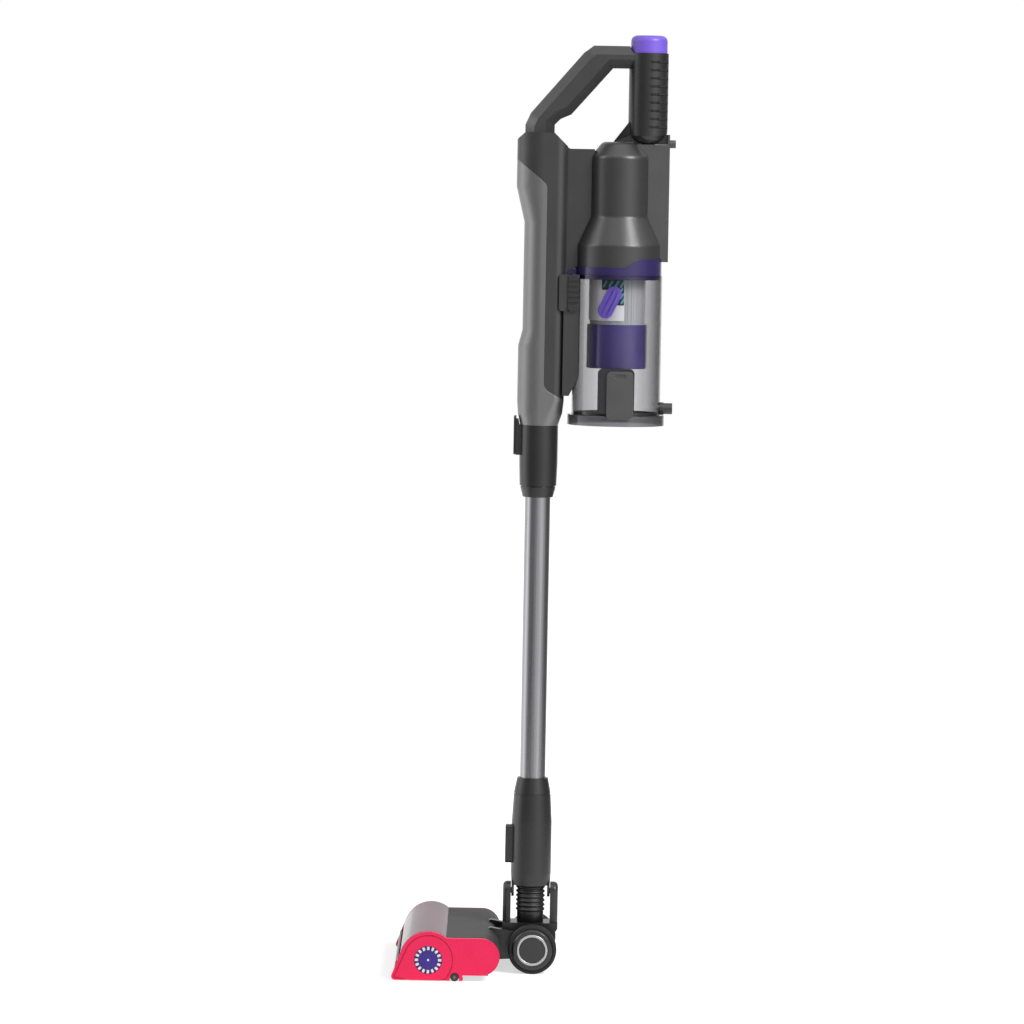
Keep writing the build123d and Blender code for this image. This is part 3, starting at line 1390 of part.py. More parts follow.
# Body: column, bin cradle, front wing and handle arm as one moulding, hollow, split into two halves
brow_outline = polygon(
    (seam_front_x, -SOCKET_H),
    (seam_front_x, BROW_FRONT),
    (-FRONT_HIGH, BROW_FRONT),
    (BROW_X, COLUMN_TOP),
    (BROW_X, CAP_TOP),
    (GRIP_X, CAP_TOP),
    (GRIP_X, COLUMN_TOP),
    (NAPE_X, COLUMN_TOP),
    (COLUMN_REAR + COLUMN_WALL, NAPE_REAR),
    (WING_REAR, NAPE_REAR),
    (WING_REAR, -SOCKET_H),
)
with BuildPart() as body:
    add(column_body(column_stations, 0.0))
    with BuildSketch(hand(CRADLE_HALF)):
        add(
            polygon(
                (COLUMN_REAR - COLUMN_WALL, CRADLE_LOW),
                (CRADLE_TOE, CRADLE_LOW),
                (CRADLE_REAR, CRADLE_SHOULDER),
                (CRADLE_REAR, BIN_TOP),
                (COLUMN_REAR - COLUMN_WALL, BIN_TOP),
            )
        )
    extrude(amount=2 * CRADLE_HALF)
    add(slab(COLUMN_REAR - COLUMN_WALL, WING_REAR, WING_LOW, WING_TOP, WING_HALF))
    add(cover_space(), mode=Mode.SUBTRACT)
    add(arm_body(arm_points, ridge_points, ARM_EDGE_HALF, ARM_RIDGE_HALF))
    with BuildSketch(hand()):
        add(brow_outline)
    extrude(amount=2 * COLUMN_HALF, both=True, mode=Mode.INTERSECT)
    with BuildSketch(hand(-PAD_OUT + PAD_OUT / 2)):
        with Locations(((PAD_FRONT + PAD_REAR) / 2, (CATCH_LOW + CATCH_TOP) / 2)):
            RectangleRounded(PAD_REAR - PAD_FRONT, CATCH_TOP - CATCH_LOW, BUTTON_CORNER)
    extrude(amount=PAD_OUT / 2)
    add(column_cavity(), mode=Mode.SUBTRACT)
    arm_room = arm_body(
        inset_points(arm_points, ARM_WALL),
        inset_points(ridge_points, ARM_WALL / 2),
        ARM_EDGE_HALF - ARM_WALL / 4,
        ARM_RIDGE_HALF - ARM_WALL,
    )
    add(arm_room, mode=Mode.SUBTRACT)
    cradle_room = slab(
        COLUMN_REAR, CRADLE_REAR, CRADLE_SHOULDER, BIN_TOP - COLUMN_WALL, CRADLE_HALF - COLUMN_WALL
    )
    cradle_room = cradle_room - upright_disc(BIN_X, BIN_R + GAP + COLUMN_WALL, 0, COLUMN_TOP)
    add(cradle_room, mode=Mode.SUBTRACT)
    add(
        slab(COLUMN_REAR, WING_REAR, WING_LOW + COLUMN_WALL, WING_TOP - COLUMN_WALL, WING_HALF - COLUMN_WALL),
        mode=Mode.SUBTRACT,
    )
    add(upright_disc(BIN_X, BIN_R + GAP, 0, MOTOR_LOW), mode=Mode.SUBTRACT)
    add(motor_space(SPINE_ROOM), mode=Mode.SUBTRACT)
    add(upright_disc(GRIP_X, GRIP_R, GRIP_LOW, CAP_TOP), mode=Mode.SUBTRACT)
    with BuildSketch(across(0, SEAT_Z + INLET_Z)):
        Circle(INLET_R + HOLE_ROOM)
    extrude(amount=BIN_X, mode=Mode.SUBTRACT)
    stem_room = CATCH_STEM_H + CATCH_TRAVEL + 2 * GAP
    with BuildSketch(hand(-CRADLE_HALF + COLUMN_WALL)):
        with Locations(((CATCH_FRONT + CATCH_REAR) / 2 - CATCH_STEM_W / 2, CATCH_LOW + stem_room / 2)):
            Rectangle(CATCH_STEM_W + 2 * GAP, stem_room)
    extrude(amount=COLUMN_WALL, mode=Mode.SUBTRACT)

for side_name, keep in (("left", Keep.TOP), ("right", Keep.BOTTOM)):
    with BuildPart() as body_half:
        add(body.part)
        split(bisect_by=Plane.XZ, keep=keep)
    body_half.part.label = f"body_{side_name}"
    export_step(body_half.part, f"parts/body_{side_name}.step")

# Rear spine: a box behind the motor that carries the grip and the upper dock peg
spine_points = (
    (BIN_X, SPINE_LOW),
    (SPINE_REAR, SPINE_LOW),
    (SPINE_REAR, SPINE_TOP),
    (SPINE_REAR - SPINE_T, SPINE_TOP),
    (SPINE_REAR - SPINE_T, GRIP_LOW),
    (BIN_X, GRIP_LOW),
)
with BuildPart() as spine_rear:
    with BuildSketch(hand()):
        add(polygon(*spine_points))
    extrude(amount=SPINE_HALF, both=True)
    with BuildSketch(hand()):
        with Locations(((BIN_X + SPINE_REAR - SPINE_T) / 2, (SPINE_LOW + GRIP_LOW) / 2)):
            Rectangle(SPINE_REAR - SPINE_T - BIN_X, GRIP_LOW - SPINE_LOW - 2 * SPINE_T)
    extrude(amount=SPINE_HALF - SPINE_T, both=True, mode=Mode.SUBTRACT)
    with BuildSketch(across(SPINE_REAR - SPINE_T, SEAT_Z + UPPER_PEG_Z)):
        Circle(UPPER_PEG_R)
    extrude(amount=REAR_REACH - UPPER_PEG_SETBACK - SPINE_REAR + SPINE_T)
    add(motor_space(SPINE_ROOM), mode=Mode.SUBTRACT)
    add(upright_disc(BIN_X, COLLAR_R + GAP, BIN_TOP, RAMP_HIGH + GAP), mode=Mode.SUBTRACT)
spine_rear.part.label = "spine_rear"
export_step(spine_rear.part, "parts/spine_rear.step")

# Control board upright in the spine
with BuildPart() as control_board:
    with BuildSketch(level(SEAT_Z + BOARD_LOW, BOARD_X)):
        Rectangle(BOARD_T, 2 * (SPINE_HALF - SPINE_T - GAP))
    extrude(amount=BOARD_H)
control_board.part.label = "control_board"
export_step(control_board.part, "parts/control_board.step")

# Round grip with a thin web round its foot and finger grooves behind, open at the top for the cap button
web_foot = GRIP_LOW + GAP
web_rear = SPINE_REAR - SPINE_T - GAP
with BuildPart() as grip_sleeve:
    add(upright_disc(GRIP_X, GRIP_R, GRIP_LOW, GRIP_TOP))
    fillet(grip_sleeve.faces().sort_by(Axis.Z)[0].edges(), GRIP_ROUND)
    with BuildSketch(hand()):
        add(
            polygon(
                (GUSSET_FOOT_X, web_foot),
                (GUSSET_TOP_X, GUSSET_TOP),
                (GRIP_X, GUSSET_TOP),
                (GRIP_X, SPINE_TOP),
                (web_rear, SPINE_TOP),
                (web_rear, web_foot),
            )
        )
    extrude(amount=GUSSET_HALF, both=True)
    add(motor_space(SPINE_ROOM), mode=Mode.SUBTRACT)
    add(upright_disc(GRIP_X, GRIP_R - GRIP_T, GRIP_LOW + GRIP_ROUND, GRIP_TOP), mode=Mode.SUBTRACT)
    add(upright_disc(GRIP_X, CAP_R + GAP, GRIP_TOP - CAP_SKIRT - CAP_TRAVEL - GAP, GRIP_TOP), mode=Mode.SUBTRACT)
    for groove in range(GROOVE_COUNT):
        with BuildSketch(level(SEAT_Z + GROOVE_FIRST + groove * GROOVE_PITCH - GROOVE_H / 2, GRIP_X)):
            Circle(GRIP_R)
            Circle(GRIP_R - GROOVE_DEPTH, mode=Mode.SUBTRACT)
            with Locations((-GRIP_R, 0)):
                Rectangle(2 * GRIP_R, 2 * GRIP_R, mode=Mode.SUBTRACT)
        extrude(amount=GROOVE_H, mode=Mode.SUBTRACT)
grip_sleeve.part.label = "grip_sleeve"
export_step(grip_sleeve.part, "parts/grip_sleeve.step")

# Cap button: a domed cup that presses down into the grip
with BuildPart() as power_button:
    add(upright_disc(GRIP_X, CAP_R, GRIP_TOP - CAP_SKIRT, CAP_TOP))
    fillet(power_button.faces().sort_by(Axis.Z)[-1].edges(), CAP_ROUND)
    add(upright_disc(GRIP_X, CAP_R - CAP_T, GRIP_TOP - CAP_SKIRT, CAP_TOP - CAP_ROUND), mode=Mode.SUBTRACT)
power_button.part.label = "power_button"
export_step(power_button.part, "parts/power_button.step")

# Power switch on its plate, under the cap
switch_z = GRIP_TOP - SWITCH_DROP
with BuildPart() as power_switch:
    add(upright_disc(GRIP_X, GRIP_R - GRIP_T, switch_z - SWITCH_PLATE_T, switch_z))
    with BuildSketch(level(SEAT_Z + switch_z, GRIP_X)):
        Rectangle(SWITCH_W, SWITCH_W)
    extrude(amount=CAP_TOP - CAP_ROUND - CAP_TRAVEL - GAP - switch_z)
power_switch.part.label = "power_switch"
export_step(power_switch.part, "parts/power_switch.step")

# Battery cells in two layers of four, and the three plates that hold them
with BuildPart() as battery_cells:
    for layer in range(2):
        with BuildSketch(level(SEAT_Z + CELL_LOW + layer * (CELL_L + CELL_SPACE), CELL_X)):
            with GridLocations(CELL_PITCH, CELL_PITCH, 2, 2):
                Circle(CELL_R)
        extrude(amount=CELL_L)
battery_cells.part.label = "battery_cells"
export_step(battery_cells.part, "parts/battery_cells.step")

with BuildPart() as battery_tray:
    tray_section = (FRONT_WAIST, COLUMN_REAR, COLUMN_HALF, COLUMN_CORNER)
    cell_top = CELL_LOW + 2 * CELL_L + CELL_SPACE
    for z in (CELL_LOW, (CELL_LOW + cell_top - TRAY_T) / 2, cell_top - TRAY_T):
        add(column_body(((z, *tray_section), (z + TRAY_T, *tray_section)), COLUMN_WALL))
    with BuildSketch(level(SEAT_Z + CELL_LOW, CELL_X)):
        with GridLocations(CELL_PITCH, CELL_PITCH, 2, 2):
            Circle(CELL_R)
    extrude(amount=2 * CELL_L + CELL_SPACE, mode=Mode.SUBTRACT)
battery_tray.part.label = "battery_tray"
export_step(battery_tray.part, "parts/battery_tray.step")

# Bin collar: a ring between motor cover and bin, its top edge following the ramp, with a spigot in the bin
# and a bracket in front that reaches to the column
with BuildPart() as bin_collar:
    add(upright_disc(BIN_X, COLLAR_R, BIN_TOP, RAMP_HIGH))
    with BuildSketch(hand()):
        add(
            polygon(
                (-RAMP_END, MOTOR_LOW),
                (RAMP_START, MOTOR_LOW),
                (RAMP_END, RAMP_HIGH),
                (-RAMP_END, RAMP_HIGH),
            )
        )
    extrude(amount=2 * COLLAR_R, both=True, mode=Mode.SUBTRACT)
    add(upright_disc(BIN_X, BIN_R - BIN_T - GAP, BIN_TOP - COLLAR_SPIGOT, BIN_TOP))
    add(slab(COLUMN_REAR + GAP, BIN_X - COLLAR_IN, BIN_TOP + GAP, WING_LOW - GAP, WING_HALF))
    add(upright_disc(BIN_X, COLLAR_IN, BIN_TOP - COLLAR_SPIGOT, RAMP_HIGH), mode=Mode.SUBTRACT)
bin_collar.part.label = "bin_collar"
export_step(bin_collar.part, "parts/bin_collar.step")

# Cyclone: mesh shroud hung from a roof plate, and the twelve-sided skirt below it
with BuildPart() as cyclone_shroud:
    add(upright_disc(BIN_X, SHROUD_R, SHROUD_LOW, BIN_TOP))
    add(upright_disc(BIN_X, COLLAR_IN, BIN_TOP - SHROUD_T, BIN_TOP))
    add(upright_disc(BIN_X, SHROUD_R - SHROUD_T, SHROUD_LOW, BIN_TOP), mode=Mode.SUBTRACT)
cyclone_shroud.part.label = "cyclone_shroud"
export_step(cyclone_shroud.part, "parts/cyclone_shroud.step")

with BuildPart() as cyclone_skirt:
    with BuildSketch(level(SEAT_Z + SKIRT_LOW, BIN_X)):
        RegularPolygon(SKIRT_R, SKIRT_SIDES, rotation=SKIRT_TURN)
    extrude(amount=SKIRT_TOP - SKIRT_LOW)
    add(upright_disc(BIN_X, SKIRT_R - SKIRT_T, SKIRT_LOW, SHROUD_LOW - SKIRT_T), mode=Mode.SUBTRACT)
    add(upright_disc(BIN_X, SHROUD_R, SHROUD_LOW, SKIRT_TOP), mode=Mode.SUBTRACT)
    add(upright_disc(BIN_X, SHROUD_R - 2 * SHROUD_T, SKIRT_LOW, SKIRT_TOP), mode=Mode.SUBTRACT)
cyclone_skirt.part.label = "cyclone_skirt"
export_step(cyclone_skirt.part, "parts/cyclone_skirt.step")

# Inlet panel: a curved white patch on the left front of the shroud, with a leaning three-finger vane on it
panel_r = SHROUD_R + GAP + PANEL_T
with BuildPart() as inlet_panel:
    with BuildSketch(level(SEAT_Z + PANEL_LOW, BIN_X)):
        Circle(panel_r)
        Circle(SHROUD_R + GAP, mode=Mode.SUBTRACT)
        with Locations((-SHROUD_R, -SHROUD_R)):
            Rectangle(2 * SHROUD_R + 2 * PANEL_EDGE, 2 * SHROUD_R, mode=Mode.INTERSECT)
    extrude(amount=PANEL_TOP - PANEL_LOW - SHROUD_T)
inlet_panel.part.label = "inlet_panel"
export_step(inlet_panel.part, "parts/inlet_panel.step")

with BuildPart() as inlet_vane:
    with BuildSketch(bin_side()):
        with Locations(Location((VANE_X, VANE_Z), -VANE_LEAN)):
            SlotOverall(VANE_L, VANE_W, rotation=90)
    extrude(amount=SHROUD_R + VANE_T)
    with BuildSketch(bin_side(-SHROUD_R - VANE_T)):
        with Locations(Location((VANE_X, VANE_Z), -VANE_LEAN)):
            with GridLocations(VANE_W / 3, 0, 2, 1):
                SlotOverall(VANE_L - VANE_W / 2, VANE_GROOVE_W, rotation=90)
    extrude(amount=-VANE_GROOVE, mode=Mode.SUBTRACT)
    add(upright_disc(BIN_X, panel_r, SKIRT_LOW, BIN_TOP), mode=Mode.SUBTRACT)
inlet_vane.part.label = "inlet_vane"
export_step(inlet_vane.part, "parts/inlet_vane.step")

# Dust bin: clear tube with an inlet hole and the middle lug of the door hinge
with BuildPart() as dust_bin:
    add(upright_disc(BIN_X, BIN_R, BIN_LOW, BIN_TOP))
    with BuildSketch(across(BIN_X - HINGE_HALF, SEAT_Z + DOOR_TOP)):
        add(hull((HINGE_Y, 0, HINGE_R), (BIN_R - BIN_T, HINGE_STEM, BIN_T), (BIN_R - BIN_T, BIN_T, BIN_T)))
        with Locations((HINGE_Y, GAP - HINGE_STEM)):
            Rectangle(BIN_R, 2 * HINGE_STEM, mode=Mode.SUBTRACT)
        with Locations((HINGE_Y, 0)):
            Circle(HINGE_R)
    extrude(amount=2 * HINGE_HALF)
    add(upright_disc(BIN_X, BIN_R - BIN_T, DOOR_LOW, BIN_TOP), mode=Mode.SUBTRACT)
    with BuildSketch(across(0, SEAT_Z + INLET_Z)):
        Circle(INLET_R - INLET_T)
    extrude(amount=BIN_X, mode=Mode.SUBTRACT)
    with BuildSketch(across(BIN_X - HINGE_HALF, SEAT_Z + DOOR_TOP)):
        with Locations((HINGE_Y, 0)):
            Circle(HINGE_PIN_R)
    extrude(amount=2 * HINGE_HALF, mode=Mode.SUBTRACT)
dust_bin.part.label = "dust_bin"
export_step(dust_bin.part, "parts/dust_bin.step")

# Bin door: a rimmed disc with two hinge lugs on a pin, and its seal
lug_out = HINGE_HALF + GAP + HINGE_LUG
with BuildPart() as bin_door:
    add(upright_disc(BIN_X, DOOR_R, DOOR_LOW, DOOR_TOP))
    add(upright_disc(BIN_X, DOOR_R - DOOR_RIM, DOOR_LOW, DOOR_TOP - DOOR_PLATE), mode=Mode.SUBTRACT)
    with BuildSketch(hand(-KEY_OUT + KEY_PLATE + KEY_TRAVEL + GAP)):
        with Locations((KEY_X, (DOOR_LOW + DOOR_TOP) / 2)):
            Rectangle(KEY_W + 2 * GAP, DOOR_TOP - DOOR_LOW)
    extrude(amount=DOOR_R, mode=Mode.SUBTRACT)
    lug_outline = hull((HINGE_Y, 0, HINGE_R), (DOOR_R - DOOR_RIM, -HINGE_R, HINGE_R))
    for x in (-lug_out, HINGE_HALF + GAP):
        with BuildSketch(across(BIN_X + x, SEAT_Z + DOOR_TOP)):
            add(lug_outline)
            with Locations((DOOR_R - HINGE_LUG, HINGE_R)):
                Rectangle(2 * HINGE_LUG, 2 * HINGE_R, mode=Mode.SUBTRACT)
            with Locations((HINGE_Y, 0)):
                Circle(HINGE_PIN_R + RUN_FIT, mode=Mode.SUBTRACT)
        extrude(amount=HINGE_LUG)
bin_door.part.label = "bin_door"
export_step(bin_door.part, "parts/bin_door.step")

with BuildPart() as door_pin:
    with BuildSketch(across(BIN_X - lug_out, SEAT_Z + DOOR_TOP)):
        with Locations((HINGE_Y, 0)):
            Circle(HINGE_PIN_R)
    extrude(amount=2 * lug_out)
door_pin.part.label = "door_pin"
export_step(door_pin.part, "parts/door_pin.step")

with BuildPart() as door_seal:
    seal_r = BIN_R - BIN_T - 2 * GAP
    add(upright_disc(BIN_X, seal_r, DOOR_TOP, DOOR_TOP + SEAL_H))
    add(upright_disc(BIN_X, seal_r - SEAL_W, DOOR_TOP, DOOR_TOP + SEAL_H), mode=Mode.SUBTRACT)
door_seal.part.label = "door_seal"
export_step(door_seal.part, "parts/door_seal.step")

# Latch: a base saddled on the bin, and the key that is pressed to drop the door
key_back = KEY_OUT - KEY_PLATE
stem_back = key_back - KEY_STEM
with BuildPart() as latch_base:
    with BuildSketch(hand(0.0)):
        with Locations((LATCH_X, (LATCH_LOW + LATCH_TOP) / 2)):
            RectangleRounded(LATCH_W, LATCH_TOP - LATCH_LOW, LATCH_CORNER)
    extrude(amount=LATCH_OUT)
    add(upright_disc(BIN_X, BIN_R, 0, BIN_TOP), mode=Mode.SUBTRACT)
    with BuildSketch(hand(-stem_back + KEY_TRAVEL + GAP)):
        with Locations((KEY_X, (KEY_LOW + KEY_TOP) / 2)):
            RectangleRounded(KEY_W + 2 * GAP, KEY_TOP - KEY_LOW + 2 * GAP, LATCH_CORNER + GAP)
    extrude(amount=LATCH_OUT, mode=Mode.SUBTRACT)
latch_base.part.label = "latch_base"
export_step(latch_base.part, "parts/latch_base.step")

stem_low = LATCH_LOW + GAP
stem_top = KEY_TOP - LATCH_CORNER
with BuildPart() as bin_latch:
    with BuildSketch(hand(-key_back)):
        with Locations((KEY_X, (KEY_LOW + KEY_TOP) / 2)):
            RectangleRounded(KEY_W, KEY_TOP - KEY_LOW, LATCH_CORNER)
    extrude(amount=KEY_PLATE)
    fillet(bin_latch.faces().sort_by(Axis.Y)[0].edges(), BUTTON_EDGE / 2)
    with BuildSketch(hand(-stem_back)):
        with Locations((KEY_X, (stem_low + stem_top) / 2)):
            Rectangle(KEY_W, stem_top - stem_low)
    extrude(amount=KEY_STEM)
    with BuildSketch(hand(-KEY_OUT)):
        with Locations((KEY_X, KEY_TOP - LATCH_CORNER)):
            SlotOverall(KEY_SLOT_L, KEY_SLOT_W)
    extrude(amount=-KEY_SLOT_DEPTH, mode=Mode.SUBTRACT)
bin_latch.part.label = "bin_latch"
export_step(bin_latch.part, "parts/bin_latch.step")

# Bin catch: a ribbed slider on the cradle's left side, with a stem in its slot
catch_in = CRADLE_HALF + GAP
with BuildPart() as bin_catch:
    with BuildSketch(hand(-catch_in)):
        with Locations(((CATCH_FRONT + CATCH_REAR) / 2, (CATCH_LOW + CATCH_TOP) / 2)):
            RectangleRounded(CATCH_REAR - CATCH_FRONT, CATCH_TOP - CATCH_LOW, BUTTON_CORNER)
    extrude(amount=CATCH_T)
    with BuildSketch(hand(-catch_in - CATCH_T)):
        with Locations(((CATCH_FRONT + CATCH_REAR) / 2, (CATCH_LOW + CATCH_TOP) / 2)):
            with GridLocations(0, 2 * CATCH_RIB_H, 1, CATCH_RIBS):
                Rectangle(CATCH_REAR - CATCH_FRONT, CATCH_RIB_H)
    extrude(amount=-CATCH_RIB_DEPTH, mode=Mode.SUBTRACT)
    with BuildSketch(hand(-CRADLE_HALF + COLUMN_WALL)):
        stem_x = (CATCH_FRONT + CATCH_REAR) / 2 - CATCH_STEM_W / 2
        with Locations((stem_x, CATCH_LOW + GAP + CATCH_TRAVEL + CATCH_STEM_H / 2)):
            Rectangle(CATCH_STEM_W, CATCH_STEM_H)
    extrude(amount=catch_in - CRADLE_HALF + COLUMN_WALL)
bin_catch.part.label = "bin_catch"
export_step(bin_catch.part, "parts/bin_catch.step")

# Lower dock peg on the back of the bin
with BuildPart() as lower_peg:
    with BuildSketch(across(BIN_X, SEAT_Z + LOWER_PEG_Z)):
        Circle(LOWER_PEG_R)
    extrude(amount=REAR_REACH - BIN_X)
    with BuildSketch(across(BIN_X, SEAT_Z + LOWER_PEG_Z)):
        Circle(PEG_ROOT_R)
    extrude(amount=BIN_R + PEG_ROOT_L)
    add(upright_disc(BIN_X, BIN_R, 0, BIN_TOP), mode=Mode.SUBTRACT)
lower_peg.part.label = "lower_peg"
export_step(lower_peg.part, "parts/lower_peg.step")
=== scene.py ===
import json
import math

import bmesh
import bpy
from mathutils import Matrix, Vector, noise


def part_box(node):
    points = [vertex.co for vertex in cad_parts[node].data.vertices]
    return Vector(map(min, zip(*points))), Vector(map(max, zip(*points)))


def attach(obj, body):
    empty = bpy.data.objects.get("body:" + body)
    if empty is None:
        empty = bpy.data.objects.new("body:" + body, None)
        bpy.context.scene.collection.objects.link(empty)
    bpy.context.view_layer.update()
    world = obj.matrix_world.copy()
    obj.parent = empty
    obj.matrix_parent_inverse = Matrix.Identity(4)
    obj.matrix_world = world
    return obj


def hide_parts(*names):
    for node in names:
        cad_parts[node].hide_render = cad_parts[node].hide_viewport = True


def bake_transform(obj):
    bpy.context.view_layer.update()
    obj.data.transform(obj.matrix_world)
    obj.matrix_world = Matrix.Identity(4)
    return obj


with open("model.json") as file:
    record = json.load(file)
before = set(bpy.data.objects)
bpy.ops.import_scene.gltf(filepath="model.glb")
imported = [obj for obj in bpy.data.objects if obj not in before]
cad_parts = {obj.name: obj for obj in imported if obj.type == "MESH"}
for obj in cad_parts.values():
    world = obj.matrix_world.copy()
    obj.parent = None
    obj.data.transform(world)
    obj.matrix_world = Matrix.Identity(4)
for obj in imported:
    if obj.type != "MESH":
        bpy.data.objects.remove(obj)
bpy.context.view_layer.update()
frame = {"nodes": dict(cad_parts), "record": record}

# Lengths are in metres; MM turns millimetres into them.
MM = 0.001
# Corners of a CAD mesh closer than this are one corner
WELD = 0.002 * MM
# Levels between which most of a noise pattern lies
NOISE_LOW, NOISE_HIGH = 0.3, 0.7


def box_middle(node, axis):
    """Middle of a node's box along one axis."""
    low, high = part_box(node)
    return (low[axis] + high[axis]) / 2


# Places read from the frame
WAND_X = box_middle("wand_tube", 0)
BIN_X = box_middle("dust_bin", 0)
WHEEL_X = box_middle("tyre_left", 0)
WHEEL_Z = box_middle("tyre_left", 2)
WHEEL_FACE = abs(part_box("wheel_left")[0][1])
ROLLER_X = box_middle("roller_sleeve", 0)
ROLLER_Z = box_middle("roller_sleeve", 2)
ROLLER_LOW_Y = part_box("roller_sleeve")[0][1]
ROLLER_HIGH_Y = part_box("roller_sleeve")[1][1]
PILE_R = (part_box("roller_sleeve")[1][2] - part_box("roller_sleeve")[0][2]) / 2
HOSE_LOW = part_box("neck_hose")[0][2]
HOSE_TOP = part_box("neck_hose")[1][2]
PANEL_R = BIN_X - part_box("inlet_panel")[0][0]
PANEL_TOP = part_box("inlet_panel")[1][2]
# Seat of the hand-held unit on the upper connector, which reaches this far over the tube's end
SEAT_OVER_TUBE = 49.0 * MM
SEAT_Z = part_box("wand_tube")[1][2] + SEAT_OVER_TUBE
PLATE_FACE = max(abs(corner[1]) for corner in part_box("end_plate_left"))
GRIP_X = box_middle("power_button", 0)
GRIP_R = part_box("grip_sleeve")[1][1]


# Materials
def linear(code):
    """Linear colour of an sRGB hex value."""
    parts = [int(code[i : i + 2], 16) / 255 for i in (1, 3, 5)]
    return tuple(c / 12.92 if c <= 0.04045 else ((c + 0.055) / 1.055) ** 2.4 for c in parts) + (1.0,)


def add(tree, kind, inputs=None, **settings):
    """One node with its settings; each input is a value or another node's output."""
    made = tree.nodes.new(kind)
    for key, value in settings.items():
        setattr(made, key, value)
    for key, value in (inputs or {}).items():
        if isinstance(value, bpy.types.NodeSocket):
            tree.links.new(value, made.inputs[key])
        else:
            made.inputs[key].default_value = value
    return made


def paint(tree, shader, pattern, low, high):
    """Base colour that follows a pattern from one (level, hex) tone to another."""
    (low_level, low_hex), (high_level, high_hex) = low, high
    # The node's colour sockets: 6 takes the pattern, 7 and 8 its two levels, 9 and 10 their tones
    tone = add(
        tree,
        "ShaderNodeMapRange",
        {
            6: pattern,
            7: (low_level,) * 3,
            8: (high_level,) * 3,
            9: linear(low_hex)[:3],
            10: linear(high_hex)[:3],
        },
        data_type="FLOAT_VECTOR",
    )
    tree.links.new(tone.outputs["Vector"], shader.inputs["Base Color"])
    return tone.outputs["Vector"]


def seen_directly(tree):
    """1 for rays from the camera, a mirror or a clear piece, and 0 for light on the object."""
    rays = add(tree, "ShaderNodeLightPath").outputs
    mirrored = add(
        tree, "ShaderNodeMath", {0: rays["Is Camera Ray"], 1: rays["Is Glossy Ray"]}, operation="MAXIMUM"
    )
    seen_through = add(
        tree, "ShaderNodeMath", {0: mirrored.outputs[0], 1: rays["Is Transmission Ray"]}, operation="MAXIMUM"
    )
    return seen_through.outputs[0]


def start(name, **sockets):
    """A new material, its tree, its main shader with fixed sockets set, and its Object coordinates."""
    made = bpy.data.materials.new(name)
    made.use_nodes = True
    tree = made.node_tree
    shader = tree.nodes["Principled BSDF"]
    for key, value in sockets.items():
        shader.inputs[key.replace("_", " ")].default_value = value
    coords = add(tree, "ShaderNodeTexCoord").outputs["Object"]
    return made, tree, shader, coords


def moulded(name, dark, light, rough, grain_mm, depth_mm, **sockets):
    """A moulded plastic: slow drift of tone, and a fine grain in the bump and the roughness."""
    made, tree, shader, coords = start(name, **sockets)
    drift_mm, spread_each_way = 45, 0.06
    drift = add(tree, "ShaderNodeTexNoise", {"Vector": coords, "Scale": 1 / (drift_mm * MM), "Detail": 2.0})
    paint(tree, shader, drift.outputs["Fac"], (NOISE_LOW, dark), (NOISE_HIGH, light))
    grain = add(tree, "ShaderNodeTexNoise", {"Vector": coords, "Scale": 1 / (grain_mm * MM), "Detail": 4.0})
    spread = add(
        tree,
        "ShaderNodeMapRange",
        {
            "Value": grain.outputs["Fac"],
            "From Min": NOISE_LOW,
            "From Max": NOISE_HIGH,
            "To Min": rough - spread_each_way,
            "To Max": rough + spread_each_way,
        },
    )
    tree.links.new(spread.outputs["Result"], shader.inputs["Roughness"])
    bump = add(
        tree, "ShaderNodeBump", {"Strength": 0.35, "Distance": depth_mm * MM, "Height": grain.outputs["Fac"]}
    )
    tree.links.new(bump.outputs["Normal"], shader.inputs["Normal"])
    return made


def clear(name, edge, middle, rough, ior, transmission=1.0):
    """A clear moulding: deeper tone where the wall is seen edge on, faint flow marks, and lamps shine in."""
    made, tree, shader, coords = start(name, IOR=ior, Transmission_Weight=transmission)
    flow_mm, flow_rough = 30, 0.04
    flow = add(tree, "ShaderNodeTexNoise", {"Vector": coords, "Scale": 1 / (flow_mm * MM), "Detail": 2.0})
    facing = add(tree, "ShaderNodeLayerWeight", {"Blend": 0.5})
    tone = paint(tree, shader, facing.outputs["Facing"], (0.05, middle), (0.6, edge))
    open_air = add(tree, "ShaderNodeBsdfTransparent", {"Color": tone})
    rays = add(tree, "ShaderNodeLightPath").outputs
    mix = add(
        tree, "ShaderNodeMixShader", {0: rays["Is Shadow Ray"], 1: shader.outputs[0], 2: open_air.outputs[0]}
    )
    tree.links.new(mix.outputs[0], tree.nodes["Material Output"].inputs["Surface"])
    spread = add(
        tree,
        "ShaderNodeMapRange",
        {
            "Value": flow.outputs["Fac"],
            "From Min": NOISE_LOW,
            "From Max": NOISE_HIGH,
            "To Min": rough,
            "To Max": rough + flow_rough,
        },
    )
    tree.links.new(spread.outputs["Result"], shader.inputs["Roughness"])
    return made


